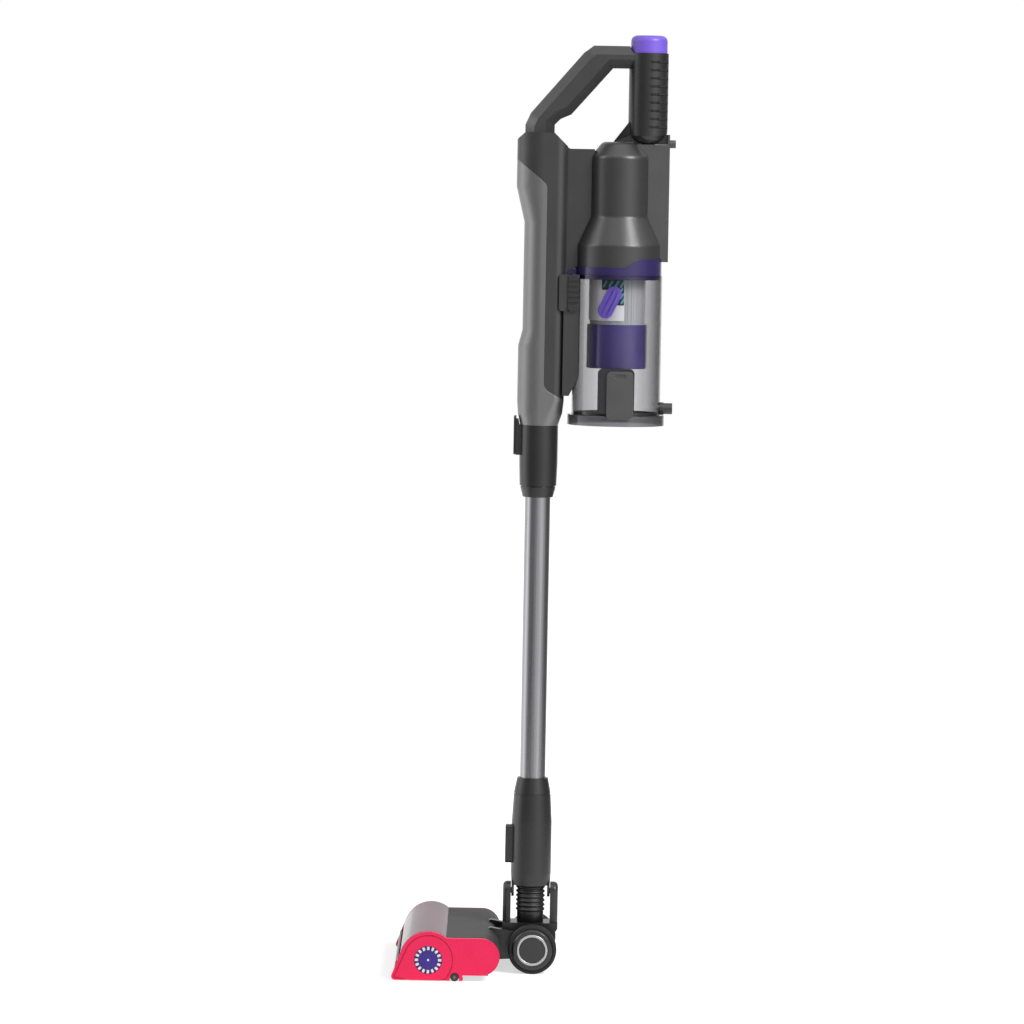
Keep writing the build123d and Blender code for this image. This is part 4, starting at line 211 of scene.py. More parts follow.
def brushed_aluminium():
    """Drawn and brushed tube: long streaks along the tube that stretch the highlights."""
    made, tree, shader, coords = start("brushed aluminium tube", Metallic=1.0)
    streak_mm, streak_length_mm = 0.7, 180
    squeeze = add(
        tree,
        "ShaderNodeMapping",
        {
            "Vector": coords,
            "Scale": (1 / (streak_mm * MM), 1 / (streak_mm * MM), 1 / (streak_length_mm * MM)),
        },
    )
    streaks = add(
        tree, "ShaderNodeTexNoise", {"Vector": squeeze.outputs["Vector"], "Scale": 1.0, "Detail": 3.0}
    )
    paint(tree, shader, streaks.outputs["Fac"], (NOISE_LOW, "#8b8b8e"), (NOISE_HIGH, "#a2a2a5"))
    spread = add(
        tree,
        "ShaderNodeMapRange",
        {
            "Value": streaks.outputs["Fac"],
            "From Min": NOISE_LOW,
            "From Max": NOISE_HIGH,
            "To Min": 0.2,
            "To Max": 0.32,
        },
    )
    tree.links.new(spread.outputs["Result"], shader.inputs["Roughness"])
    return made


def silver_paint():
    """Metallic paint on a moulding: tiny flakes that glint, under a thin clear coat."""
    made, tree, shader, coords = start(
        "silver metallic paint", Metallic=0.85, Coat_Weight=0.2, Coat_Roughness=0.3
    )
    flake_mm = 0.9
    flakes = add(tree, "ShaderNodeTexVoronoi", {"Vector": coords, "Scale": 1 / (flake_mm * MM)})
    paint(tree, shader, flakes.outputs["Distance"], (0.1, "#777778"), (0.7, "#7e7e7f"))
    spread = add(
        tree,
        "ShaderNodeMapRange",
        {
            "Value": flakes.outputs["Distance"],
            "From Min": 0.0,
            "From Max": 0.8,
            "To Min": 0.38,
            "To Max": 0.46,
        },
    )
    tree.links.new(spread.outputs["Result"], shader.inputs["Roughness"])
    return made


def perforated_mesh():
    """Shroud sheet with rows of fine round holes, drawn as dark dots sunk in the bump."""
    made, tree, shader, coords = start("perforated shroud sheet", Roughness=0.4)
    pitch_mm = 2.2
    dots = add(
        tree, "ShaderNodeTexVoronoi", {"Vector": coords, "Scale": 1 / (pitch_mm * MM), "Randomness": 0.0}
    )
    paint(tree, shader, dots.outputs["Distance"], (0.3, "#77777b"), (0.36, "#b2b2b6"))
    bump = add(
        tree, "ShaderNodeBump", {"Strength": 0.5, "Distance": 0.3 * MM, "Height": dots.outputs["Distance"]}
    )
    tree.links.new(bump.outputs["Normal"], shader.inputs["Normal"])
    return made


def plush_pile():
    """Microfibre pile on the roller: soft sheen, tone broken up by the lie of the fibres."""
    made, tree, shader, coords = start(
        "plush microfibre pile", Roughness=0.9, Sheen_Weight=0.2, Sheen_Roughness=0.4
    )
    tuft_mm = 4
    lie = add(
        tree,
        "ShaderNodeTexNoise",
        {"Vector": coords, "Scale": 1 / (tuft_mm * MM), "Detail": 5.0, "Roughness": 0.7},
    )
    paint(tree, shader, lie.outputs["Fac"], (NOISE_LOW, "#6c3358"), (NOISE_HIGH, "#a0668a"))
    bump = add(tree, "ShaderNodeBump", {"Strength": 0.8, "Distance": 0.6 * MM, "Height": lie.outputs["Fac"]})
    tree.links.new(bump.outputs["Normal"], shader.inputs["Normal"])
    return made


def pressed_felt():
    """Wool felt: matt, with a tangle of fibres a millimetre or so long."""
    made, tree, shader, coords = start("pressed felt", Roughness=1.0)
    fibre_mm = 1.2
    tangle = add(tree, "ShaderNodeTexNoise", {"Vector": coords, "Scale": 1 / (fibre_mm * MM), "Detail": 6.0})
    paint(tree, shader, tangle.outputs["Fac"], (NOISE_LOW, "#222224"), (NOISE_HIGH, "#3c3c40"))
    bump = add(
        tree, "ShaderNodeBump", {"Strength": 0.8, "Distance": 0.4 * MM, "Height": tangle.outputs["Fac"]}
    )
    tree.links.new(bump.outputs["Normal"], shader.inputs["Normal"])
    return made


def metal(name, dark, light, rough):
    """A plain machined or plated metal with faint tool marks."""
    made, tree, shader, coords = start(name, Metallic=1.0)
    mark_mm, spread_each_way = 1.5, 0.05
    marks = add(tree, "ShaderNodeTexNoise", {"Vector": coords, "Scale": 1 / (mark_mm * MM), "Detail": 3.0})
    paint(tree, shader, marks.outputs["Fac"], (NOISE_LOW, dark), (NOISE_HIGH, light))
    spread = add(
        tree,
        "ShaderNodeMapRange",
        {
            "Value": marks.outputs["Fac"],
            "From Min": NOISE_LOW,
            "From Max": NOISE_HIGH,
            "To Min": rough - spread_each_way,
            "To Max": rough + spread_each_way,
        },
    )
    tree.links.new(spread.outputs["Result"], shader.inputs["Roughness"])
    return made


def paint_groove_shade(made, floor, code):
    """Painted shade: a deeper tone on the floor of a groove that lies square to the width, at the same depth
    on both sides.
    """
    tree = made.node_tree
    colour = tree.nodes["Principled BSDF"].inputs["Base Color"]
    near_floor, squareness = 0.3 * MM, 0.95
    place_on = add(tree, "ShaderNodeTexCoord").outputs
    across = add(tree, "ShaderNodeSeparateXYZ", {"Vector": place_on["Object"]}).outputs["Y"]
    outward = add(tree, "ShaderNodeSeparateXYZ", {"Vector": place_on["Normal"]}).outputs["Y"]
    width = add(tree, "ShaderNodeMath", {0: across}, operation="ABSOLUTE").outputs[0]
    level = add(tree, "ShaderNodeMath", {0: width, 1: floor, 2: near_floor}, operation="COMPARE").outputs[0]
    turned_out = add(tree, "ShaderNodeMath", {0: outward}, operation="ABSOLUTE").outputs[0]
    square = add(tree, "ShaderNodeMath", {0: turned_out, 1: squareness}, operation="GREATER_THAN").outputs[0]
    # Where the painted shade goes: the groove floor, turned square to the width
    both = add(tree, "ShaderNodeMath", {0: level, 1: square}, operation="MULTIPLY").outputs[0]
    # Sockets 6 and 7 take the plain tone and the painted shade, and output 2 is their mix
    tone = add(
        tree, "ShaderNodeMix", {0: both, 6: colour.links[0].from_socket, 7: linear(code)}, data_type="RGBA"
    )
    tree.links.new(tone.outputs[2], colour)


# Charcoal ABS, spark-eroded mould: fine even grain, soft highlights. The grain is drawn coarse to show.
CHARCOAL = moulded("charcoal ABS", "#2c2c2d", "#333334", 0.36, 0.7, 0.02, Specular_IOR_Level=0.65)
# Lighter charcoal of the panels behind: the same grain.
CHARCOAL_PALE = moulded("pale charcoal ABS", "#454546", "#4d4d4e", 0.36, 0.7, 0.02, Specular_IOR_Level=0.6)
# Black ABS of the wand's connectors and the neck: the same grain, darker.
BLACK_ABS = moulded("black ABS", "#1e1e1f", "#242425", 0.32, 0.7, 0.02, Specular_IOR_Level=0.55)
# Polished black ABS of latch and catch: a little glossier.
KEY_ABS = moulded("polished black ABS", "#262628", "#2d2d2f", 0.24, 0.9, 0.02)
# Grey ABS of the floor head's housing.
GREY_ABS = moulded("grey ABS", "#3a3a3c", "#414143", 0.55, 0.7, 0.04, Specular_IOR_Level=0.15)
# Pink ABS with a high gloss, and deeper lines of painted shade on the floors of the plates' grooves.
PLATE_GROOVE = 1.0 * MM
PINK = moulded("gloss pink ABS", "#fb1658", "#ff1c5e", 0.26, 0.6, 0.01, Specular_IOR_Level=0.35)
paint_groove_shade(PINK, PLATE_FACE - PLATE_GROOVE, "#bd1247")
# Violet ABS of the cap button.
VIOLET = moulded("satin violet ABS", "#7457d2", "#7d61da", 0.36, 0.8, 0.03)
# Deep violet of the roller's end dial.
INDIGO = moulded("satin indigo ABS", "#2c1682", "#351d90", 0.35, 0.8, 0.02)
# White polypropylene.
WHITE = moulded("white polypropylene", "#ececee", "#f4f4f6", 0.38, 1.2, 0.02)
# Teal polypropylene of the comb.
TEAL = moulded("teal polypropylene", "#3fa9b4", "#55bcc4", 0.4, 1.2, 0.02)
# Violet polycarbonate of the cyclone's skirt, tinted right through.
TINTED = moulded(
    "tinted violet polycarbonate", "#3d3073", "#463880", 0.12, 3.0, 0.001, Specular_IOR_Level=0.8
)
# Darker violet polycarbonate of the collar.
COLLAR_TINT = moulded("deep violet polycarbonate", "#291f52", "#31265e", 0.2, 3.0, 0.005)
# Clear polycarbonate of the bin, faintly grey.
CLEAR = clear("clear polycarbonate", "#8f8f91", "#e2e2e3", 0.05, 1.3)
# Smoke-tinted polycarbonate of the bin's door.
SMOKE = clear("smoke polycarbonate", "#6a6a6c", "#8c8c8f", 0.08, 1.4, 0.75)
# Lightly frosted polycarbonate over the roller, with a pink cast.
FROSTED = clear("frosted polycarbonate", "#8a5a70", "#ae748e", 0.12, 1.12, 0.55)
# Black rubber: matt, with a bloom of lighter tone.
RUBBER = moulded("black rubber", "#262627", "#2f2f31", 0.42, 1.0, 0.03)
# Tyre rubber: a shade lighter and rougher.
TYRE = moulded("tyre rubber", "#1b1c1d", "#232426", 0.68, 0.9, 0.06, Specular_IOR_Level=0.3)
ALUMINIUM = brushed_aluminium()
SILVER = silver_paint()
MESH = perforated_mesh()
PLUSH = plush_pile()
FELT = pressed_felt()
# Bright trim ring of the wheels: brushed and plated.
RING_METAL = metal("brushed bright ring", "#a2a2a4", "#b6b6b8", 0.32)
# Ground steel of axles and pins.
STEEL = metal("ground steel", "#9b9b9d", "#b0b0b2", 0.3)
# Zinc-plated motor can.
ZINC = metal("zinc plate", "#6d6d70", "#808084", 0.42)
# Cast aluminium of the fan and the suction motor.
CAST = metal("cast aluminium", "#8a8a8c", "#a0a0a2", 0.45)
# Pleated filter paper.
PAPER = moulded("filter paper", "#e4e0d4", "#efece2", 0.9, 1.0, 0.1)
# Shrink wrap of the battery cells.
WRAP = moulded("blue cell wrap", "#1f5f94", "#276ea6", 0.35, 2.0, 0.02)
# Solder mask of the control board.
BOARD = moulded("green solder mask", "#0d4a26", "#125a30", 0.4, 1.5, 0.02)

NODE_MATERIALS = {
    "body_left": CHARCOAL,
    "body_right": CHARCOAL,
    "spine_rear": CHARCOAL_PALE,
    "motor_cover": CHARCOAL,
    "grip_sleeve": BLACK_ABS,
    "duct_cover": SILVER,
    "power_button": VIOLET,
    "lower_connector": BLACK_ABS,
    "upper_connector": BLACK_ABS,
    "lower_button": KEY_ABS,
    "upper_button": KEY_ABS,
    "neck_yoke": BLACK_ABS,
    "hinge_bracket": BLACK_ABS,
    "latch_base": KEY_ABS,
    "bin_latch": CHARCOAL_PALE,
    "bin_catch": KEY_ABS,
    "lower_peg": CHARCOAL,
    "wheel_left": BLACK_ABS,
    "wheel_right": BLACK_ABS,
    "tyre_left": TYRE,
    "tyre_right": TYRE,
    "glide_wheel_left": BLACK_ABS,
    "glide_wheel_right": BLACK_ABS,
    "head_shell": GREY_ABS,
    "head_sole": ZINC,
    "end_plate_left": PINK,
    "end_plate_right": PINK,
    "roller_window": FROSTED,
    "front_bumper": FROSTED,
    "mouth_strip": FELT,
    "brush_dial": INDIGO,
    "dial_fins": WHITE,
    "brush_motor": ZINC,
    "motor_pulley": STEEL,
    "drive_belt": RUBBER,
    "stub_axles": STEEL,
    "roller_core": CAST,
    "roller_sleeve": PLUSH,
    "roller_pulley": BLACK_ABS,
    "neck_hose": RUBBER,
    "wand_tube": ALUMINIUM,
    "dust_bin": CLEAR,
    "bin_door": SMOKE,
    "door_pin": STEEL,
    "door_seal": RUBBER,
    "bin_collar": COLLAR_TINT,
    "cyclone_shroud": MESH,
    "cyclone_skirt": TINTED,
    "inlet_panel": WHITE,
    "inlet_vane": VIOLET,
    "inlet_duct": WHITE,
    "suction_motor": CAST,
    "motor_mounts": RUBBER,
    "fan_rotor": CAST,
    "main_filter": PAPER,
    "battery_cells": WRAP,
    "battery_tray": BLACK_ABS,
    "control_board": BOARD,
    "power_switch": WHITE,
}

# Edge radius in millimetres of the mouldings that show
EDGE_RADII = {
    "body_left": 0.9,
    "body_right": 0.9,
    "spine_rear": 1.2,
    "motor_cover": 0.6,
    "duct_cover": 0.6,
    "power_button": 0.4,
    "lower_connector": 0.6,
    "upper_connector": 0.6,
    "lower_button": 0.4,
    "upper_button": 0.4,
    "neck_yoke": 1.6,
    "hinge_bracket": 1.4,
    "latch_base": 0.7,
    "bin_latch": 0.5,
    "bin_catch": 0.5,
    "lower_peg": 0.6,
    "wheel_left": 0.6,
    "wheel_right": 0.6,
    "tyre_left": 0.8,
    "tyre_right": 0.8,
    "glide_wheel_left": 0.4,
    "glide_wheel_right": 0.4,
    "head_shell": 0.7,
    "head_sole": 0.4,
    "end_plate_left": 1.0,
    "end_plate_right": 1.0,
    "roller_window": 0.4,
    "front_bumper": 0.5,
    "brush_dial": 0.4,
    "dial_fins": 0.3,
    "wand_tube": 0.3,
    "dust_bin": 0.4,
    "bin_door": 0.8,
    "bin_collar": 0.4,
    "cyclone_shroud": 0.3,
    "cyclone_skirt": 0.4,
    "inlet_panel": 0.3,
    "inlet_vane": 0.8,
}

NODE_BODY = {
    node: body for body, nodes in frame["record"]["behaviour"]["bodies"].items() for node in nodes
}


def place(bm, name, material, body):
    """A finished piece: a smooth mesh in the scene with its material, riding on its body if it has one."""
    mesh = bpy.data.meshes.new(name)
    bm.to_mesh(mesh)
    bm.free()
    mesh.materials.append(material)
    mesh.shade_smooth()
    made = bpy.data.objects.new(name, mesh)
    bpy.context.scene.collection.objects.link(made)
    if body:
        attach(made, body)
    return made


def round_edges(made, radius):
    """Rounds the sharp edges of a piece and keeps its flat faces flat."""
    sharp = math.radians(32)
    bevel = made.modifiers.new("edge radius", "BEVEL")
    bevel.width = radius
    bevel.segments = 3
    bevel.limit_method = "ANGLE"
    bevel.angle_limit = sharp
    shade = made.modifiers.new("flat faces", "WEIGHTED_NORMAL")
    shade.keep_sharp = True


def moulding(node, radius):
    """A CAD node as a moulding with rounded edges."""
    flat = math.radians(0.5)
    bm = bmesh.new()
    bm.from_mesh(frame["nodes"][node].data)
    bmesh.ops.remove_doubles(bm, verts=bm.verts, dist=WELD)
    bmesh.ops.dissolve_limit(bm, angle_limit=flat, verts=bm.verts, edges=bm.edges, delimit={"NORMAL"})
    made = place(bm, node + "_moulding", NODE_MATERIALS[node], NODE_BODY[node])
    round_edges(made, radius)
    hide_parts(node)


for node_name, material in NODE_MATERIALS.items():
    node_mesh = frame["nodes"][node_name].data
    node_mesh.materials.clear()
    node_mesh.materials.append(material)
for node_name, radius_mm in EDGE_RADII.items():
    moulding(node_name, radius_mm * MM)


# Finger grooves of the grip, in the half that faces the rear: heights over the seat, from the lowest up
GROOVE_MM = 3.0
GROOVE_DEPTH = 1.5 * MM
GROOVES_MM = [354.6 + 9.6 * number for number in range(9)]


# Round grip: the lands between the grooves are spun anew as fine bands, and its skin is shaded as a cylinder
def round_grip():
    axis_at = Vector((GRIP_X, 0, 0))
    half_pitch = (GROOVES_MM[1] - GROOVES_MM[0]) / 2
    lands = [SEAT_Z + (groove + half_pitch) * MM for groove in GROOVES_MM[:-1]]
    half_land = (half_pitch - GROOVE_MM / 2) * MM
    near = 0.02 * MM
    bm = bmesh.new()
    bm.from_mesh(frame["nodes"]["grip_sleeve"].data)
    bmesh.ops.remove_doubles(bm, verts=bm.verts, dist=WELD)
    bmesh.ops.recalc_face_normals(bm, faces=bm.faces)
    coarse = [
        face
        for face in bm.faces
        if any(all(abs(vert.co.z - land) < half_land + near for vert in face.verts) for land in lands)
        and all(abs((vert.co - axis_at).xy.length - GRIP_R) < near for vert in face.verts)
        and all(vert.co.x > GRIP_X - near for vert in face.verts)
    ]
    bmesh.ops.delete(bm, geom=coarse, context="FACES")
    kept = set(bm.faces)
    for land in lands:
        ends = [bm.verts.new((GRIP_X, -GRIP_R, land + side * half_land)) for side in (-1, 1)]
        edge = bm.edges.new(ends)
        bmesh.ops.spin(bm, geom=[*ends, edge], cent=axis_at, axis=(0, 0, 1), angle=math.pi, steps=48)
    for face in set(bm.faces) - kept:
        face.normal_update()
        if face.normal.dot(face.calc_center_median() - axis_at) < 0:
            face.normal_flip()
    made = place(
        bm, "grip_sleeve_moulding", NODE_MATERIALS["grip_sleeve"], "handheld"
    )
    radials = [Vector((vert.co.x - GRIP_X, vert.co.y, 0)) for vert in made.data.vertices]
    skin_from = GRIP_R - GROOVE_DEPTH - 0.1 * MM
    steepest = 0.5
    normals = []
    for face in made.data.polygons:
        on_skin = all(radials[vert].length > skin_from for vert in face.vertices)
        upright = on_skin and abs(face.normal.z) < steepest
        for vert in face.vertices:
            normals.append(radials[vert].normalized() if upright else face.normal)
    made.data.normals_split_custom_set(normals)
    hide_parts("grip_sleeve")


round_grip()


# Turned pieces
def turned(profile, centre, axis, steps, closed=True):
    """A bmesh spun from (distance along the axis, radius) points about an axis through centre."""
    direction = Vector(axis).normalized()
    outward = direction.orthogonal().normalized()
    centre = Vector(centre)
    bm = bmesh.new()
    verts = [bm.verts.new(centre + direction * along + outward * radius) for along, radius in profile]
    pairs = list(zip(verts, verts[1:]))
    if closed:
        pairs.append((verts[-1], verts[0]))
    edges = [bm.edges.new(pair) for pair in pairs]
    bmesh.ops.spin(
        bm, geom=verts + edges, cent=centre, axis=direction, angle=math.tau, steps=steps, use_merge=True
    )
    bmesh.ops.remove_doubles(bm, verts=bm.verts, dist=WELD)
    bmesh.ops.recalc_face_normals(bm, faces=bm.faces)
    return bm


# Bright ring in each wheel's recess, with its two corners taken off
def wheel_ring(side_name, turn):
    inner, outer = 15.2 * MM, 18.2 * MM
    corner, wall, thick = 0.5 * MM, 1.1 * MM, 1.5 * MM
    profile = (
        (0.0, inner),
        (0.0, outer),
        (wall, outer),
        (thick, outer - corner),
        (thick, inner + corner),
        (wall, inner),
    )
    bm = turned(profile, (WHEEL_X, turn * (WHEEL_FACE - wall), WHEEL_Z), (0, turn, 0), 96)
    made = place(bm, f"wheel_ring_{side_name}", RING_METAL, f"wheel_{side_name}_unit")
    round_edges(made, 0.2 * MM)


wheel_ring("left", -1)
wheel_ring("right", 1)


# Ribbed hose: rounded ribs in one piece, straight between yoke and connector
def ribbed_hose():
    bore = 11.5 * MM
    cuff = 15.6 * MM
    valley = 15.4 * MM
    crest = (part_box("neck_hose")[1][0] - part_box("neck_hose")[0][0]) / 2
    cuff_top = HOSE_LOW + 12.0 * MM
    ribs = 6
    points_per_rib = 12
    profile = [(0.0, bore), (0.0, cuff), (cuff_top - HOSE_LOW, cuff)]
    for point in range(1, ribs * points_per_rib + 1):
        along = cuff_top + (HOSE_TOP - cuff_top) * point / (ribs * points_per_rib)
        swell = (1 - math.cos(math.tau * point / points_per_rib)) / 2
        profile.append((along - HOSE_LOW, valley + (crest - valley) * swell))
    profile.append((HOSE_TOP - HOSE_LOW, bore))
    bm = turned(profile, (WAND_X, 0, HOSE_LOW), (0, 0, 1), 72)
    made = place(bm, "ribbed_hose", RUBBER, None)
    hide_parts("neck_hose")
    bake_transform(made)


ribbed_hose()


# Plush sleeve: pile that stands uneven, with a shallow parting that winds round the roller
def plush_sleeve():
    inner = 17.0 * MM
    rings = 150
    steps = 140
    mean_r = PILE_R - 0.9 * MM
    end_round, end_droop = 3 * MM, 2.0 * MM
    tuft, tuft_height = 3.0 * MM, 0.8 * MM
    # The parting winds once in this length; its crown is the top tenth of a cosine
    winding, parting_depth, parting_from = 120 * MM, 1.2 * MM, 0.9
    span = ROLLER_HIGH_Y - ROLLER_LOW_Y
    profile = [(0.0, inner)]
    for ring in range(rings + 1):
        share = ring / rings
        shoulder = min(share, 1 - share) * span
        droop = end_droop * max(0.0, 1 - shoulder / end_round) ** 2
        profile.append((share * span, mean_r - droop))
    profile.append((span, inner))
    bm = turned(profile, (ROLLER_X, ROLLER_LOW_Y, ROLLER_Z), (0, 1, 0), steps)
    axis_point = Vector((ROLLER_X, 0, ROLLER_Z))
    for vert in bm.verts:
        spoke = Vector((vert.co.x, 0, vert.co.z)) - axis_point
        if spoke.length < inner + 1 * MM:
            continue
        angle = math.atan2(spoke.z, spoke.x)
        wind = math.cos(2 * angle + math.tau * (vert.co.y - ROLLER_LOW_Y) / winding)
        parting = -parting_depth * max(0.0, wind - parting_from) / (1 - parting_from)
        lie = tuft_height * noise.noise(vert.co / tuft)
        vert.co += spoke.normalized() * (parting + lie)
    made = place(bm, "plush_sleeve", PLUSH, "brush_roller")
    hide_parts("roller_sleeve")


plush_sleeve()


# Felt strip under the sole: a soft-edged bar with an uneven nap
def felt_strip():
    low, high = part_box("mouth_strip")
    lengthwise = 50 * MM
    corner = 1.0
    soft_edge = 0.5 * MM
    nap, nap_height, glued = 2.5 * MM, 0.15 * MM, 0.3 * MM
    bm = bmesh.new()
    bmesh.ops.create_cube(bm, size=1.0)
    bmesh.ops.scale(bm, vec=[high[i] - low[i] for i in range(3)], verts=bm.verts)
    bmesh.ops.translate(bm, vec=[(high[i] + low[i]) / 2 for i in range(3)], verts=bm.verts)
    long_edges = [e for e in bm.edges if abs(e.verts[0].co.y - e.verts[1].co.y) > lengthwise]
    bmesh.ops.subdivide_edges(bm, edges=long_edges, cuts=140, use_grid_fill=True)
    bmesh.ops.bevel(
        bm,
        geom=[e for e in bm.edges if e.calc_face_angle(0.0) > corner],
        offset=soft_edge,
        offset_type="OFFSET",
        affect="EDGES",
        segments=2,
        profile=0.5,
        material=-1,
    )
    for vert in bm.verts:
        if vert.co.z < high[2] - glued:
            vert.co += nap_height * noise.noise_vector(vert.co / nap)
    made = place(bm, "felt_strip", FELT, "floor_head")
    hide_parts("mouth_strip")


felt_strip()


# Grille on the inlet panel: a dark curved ground with leaning teal bars that follow the curve
def panel_point(across_mm, up, out):
    """Place on the inlet panel: across from the bin axis, height, and how far out of its face."""
    turn = math.asin(across_mm * MM / PANEL_R)
    reach = PANEL_R + out
    return Vector((BIN_X + reach * math.sin(turn), -reach * math.cos(turn), up)), turn


def curved_patch(bm, left_mm, right_mm, low, high):
    """A thin dark ground on the panel between two places across and two heights."""
    lift, thick = 0.05 * MM, 0.6 * MM
    left, left_turn = panel_point(left_mm, low, lift)
    right_turn = panel_point(right_mm, low, lift)[1]
    outer = panel_point(left_mm, low, thick)[0]
    rise = Vector((0, 0, high - low))
    face = bm.faces.new([bm.verts.new(corner) for corner in (left, outer, outer + rise, left + rise)])
    bmesh.ops.spin(
        bm,
        geom=[face, *face.edges, *face.verts],
        cent=(BIN_X, 0, 0),
        axis=(0, 0, 1),
        angle=right_turn - left_turn,
        steps=24,
    )


def inlet_grille():
    band_top, band_low = PANEL_TOP - 0.5 * MM, PANEL_TOP - 14.0 * MM
    leg_low = PANEL_TOP - 32.0 * MM
    band_left_mm, leg_left_mm, right_mm = -19.0, -2.0, 6.6
    bm = bmesh.new()
    curved_patch(bm, band_left_mm, right_mm, band_low, band_top)
    curved_patch(bm, leg_left_mm, right_mm, leg_low, band_low)
    bmesh.ops.recalc_face_normals(bm, faces=bm.faces)
    place(bm, "inlet_grille", KEY_ABS, "handheld")


def inlet_comb():
    lean = math.radians(30)
    lift, bar_width, bar_depth = 0.9 * MM, 2.2 * MM, 1.0 * MM
    # Each bar: place across and drop from the panel's top, both of its middle, and its length
    row = [(-15.2 + 6.6 * number, 7.0, 9.0) for number in range(4)]
    leg = [(3.2 + 0.8 * number, 15.0 + 6.2 * number, 7.0) for number in range(3)]
    bm = bmesh.new()
    for across_mm, drop_mm, length_mm in row + leg:
        spot, turn = panel_point(across_mm, PANEL_TOP - drop_mm * MM, lift)
        verts = bmesh.ops.create_cube(bm, size=1.0)["verts"]
        bmesh.ops.scale(bm, vec=(bar_width, bar_depth, length_mm * MM), verts=verts)
        bmesh.ops.rotate(bm, cent=(0, 0, 0), matrix=Matrix.Rotation(lean, 3, "Y"), verts=verts)
        bmesh.ops.rotate(bm, cent=(0, 0, 0), matrix=Matrix.Rotation(turn, 3, "Z"), verts=verts)
        bmesh.ops.translate(bm, vec=spot, verts=verts)
    made = place(bm, "inlet_comb", TEAL, "handheld")
    round_edges(made, 0.3 * MM)


inlet_grille()
inlet_comb()


# Black strips in the grip's finger grooves, put there as painted shade of the grooves' depths: broad at the
# rear, a thin line of shade where they run out
def grip_groove_shade_strips():
    inner = GRIP_R - 1.4 * MM
    # Each strip: height, angle from the side at which it starts, and how far it lies under the skin
    broad = (GROOVE_MM - 0.1, 30.0, 0.05)
    thin = (1.2, 8.0, 0.3)
    bm = bmesh.new()
    for groove in GROOVES_MM:
        for height_mm, start_deg, sunk_mm in (broad, thin):
            begin = math.radians(start_deg)
            toward = Vector((math.sin(begin), -math.cos(begin), 0))
            foot = Vector((GRIP_X, 0, SEAT_Z + (groove - height_mm / 2) * MM))
            rise = Vector((0, 0, height_mm * MM))
            near = foot + toward * inner
            far = foot + toward * (GRIP_R - sunk_mm * MM)
            face = bm.faces.new([bm.verts.new(corner) for corner in (near, far, far + rise, near + rise)])
            bmesh.ops.spin(
                bm,
                geom=[face, *face.edges, *face.verts],
                cent=(GRIP_X, 0, 0),
                axis=(0, 0, 1),
                angle=math.pi - 2 * begin,
                steps=36,
            )
    bmesh.ops.recalc_face_normals(bm, faces=bm.faces)
    place(bm, "grip_groove_shade_strips", TYRE, "handheld")


grip_groove_shade_strips()


# White stud in the middle of the end dial
def dial_stud():
    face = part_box("brush_dial")[0][1]
    radius, top_radius = 1.6 * MM, 1.2 * MM
    wall, thick, proud = 0.3 * MM, 0.5 * MM, 0.05 * MM
    profile = ((0.0, 0.0), (0.0, radius), (wall, radius), (thick, top_radius), (thick, 0.0))
    bm = turned(profile, (ROLLER_X, face + thick - proud, ROLLER_Z), (0, -1, 0), 32, closed=False)
    place(bm, "dial_stud", WHITE, "brush_dial_unit")


dial_stud()


# Screws on the far side and under the sole: pan heads with a round recess for the driver
def screw(name, spot, axis, body):
    head, crown, recess = 3.2 * MM, 2.6 * MM, 1.5 * MM
    sunk, shoulder, proud = -0.6 * MM, 0.2 * MM, 0.5 * MM
    profile = (
        (sunk, 0.0),
        (sunk, recess),
        (proud, recess),
        (proud, crown),
        (shoulder, head),
        (sunk, head),
    )
    bm = turned(profile, spot, axis, 24, closed=False)
    place(bm, name, STEEL, body)


# Far faces of the handle's wing, the spine, the bin's cradle and the handle's arm, and the sole's lower face
WING_FACE = 12.0 * MM
SPINE_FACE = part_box("spine_rear")[1][1]
CRADLE_FACE = 27.0 * MM
ARM_FACE = 16.0 * MM
SOLE_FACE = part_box("head_sole")[0][2]
# Each screw of the body: distance behind the wand, the face it sits on, and height over the seat
BODY_SCREWS = (
    (45.0, WING_FACE, 206.0),
    (45.0, WING_FACE, 314.0),
    (37.0, CRADLE_FACE, 66.0),
    (37.0, CRADLE_FACE, 150.0),
    (30.0, ARM_FACE, 395.0),
    (141.5, SPINE_FACE, 212.0),
    (141.5, SPINE_FACE, 322.0),
)
for number, (back_mm, face, up_mm) in enumerate(BODY_SCREWS):
    screw(f"body_screw_{number}", (WAND_X + back_mm * MM, face, SEAT_Z + up_mm * MM), (0, 1, 0), "handheld")
SOLE_SCREWS_X = WAND_X - 151.0 * MM
for number, across_mm in enumerate((-85.0, 0.0, 85.0)):
    screw(f"sole_screw_{number}", (SOLE_SCREWS_X, across_mm * MM, SOLE_FACE), (0, 0, -1), "floor_head")


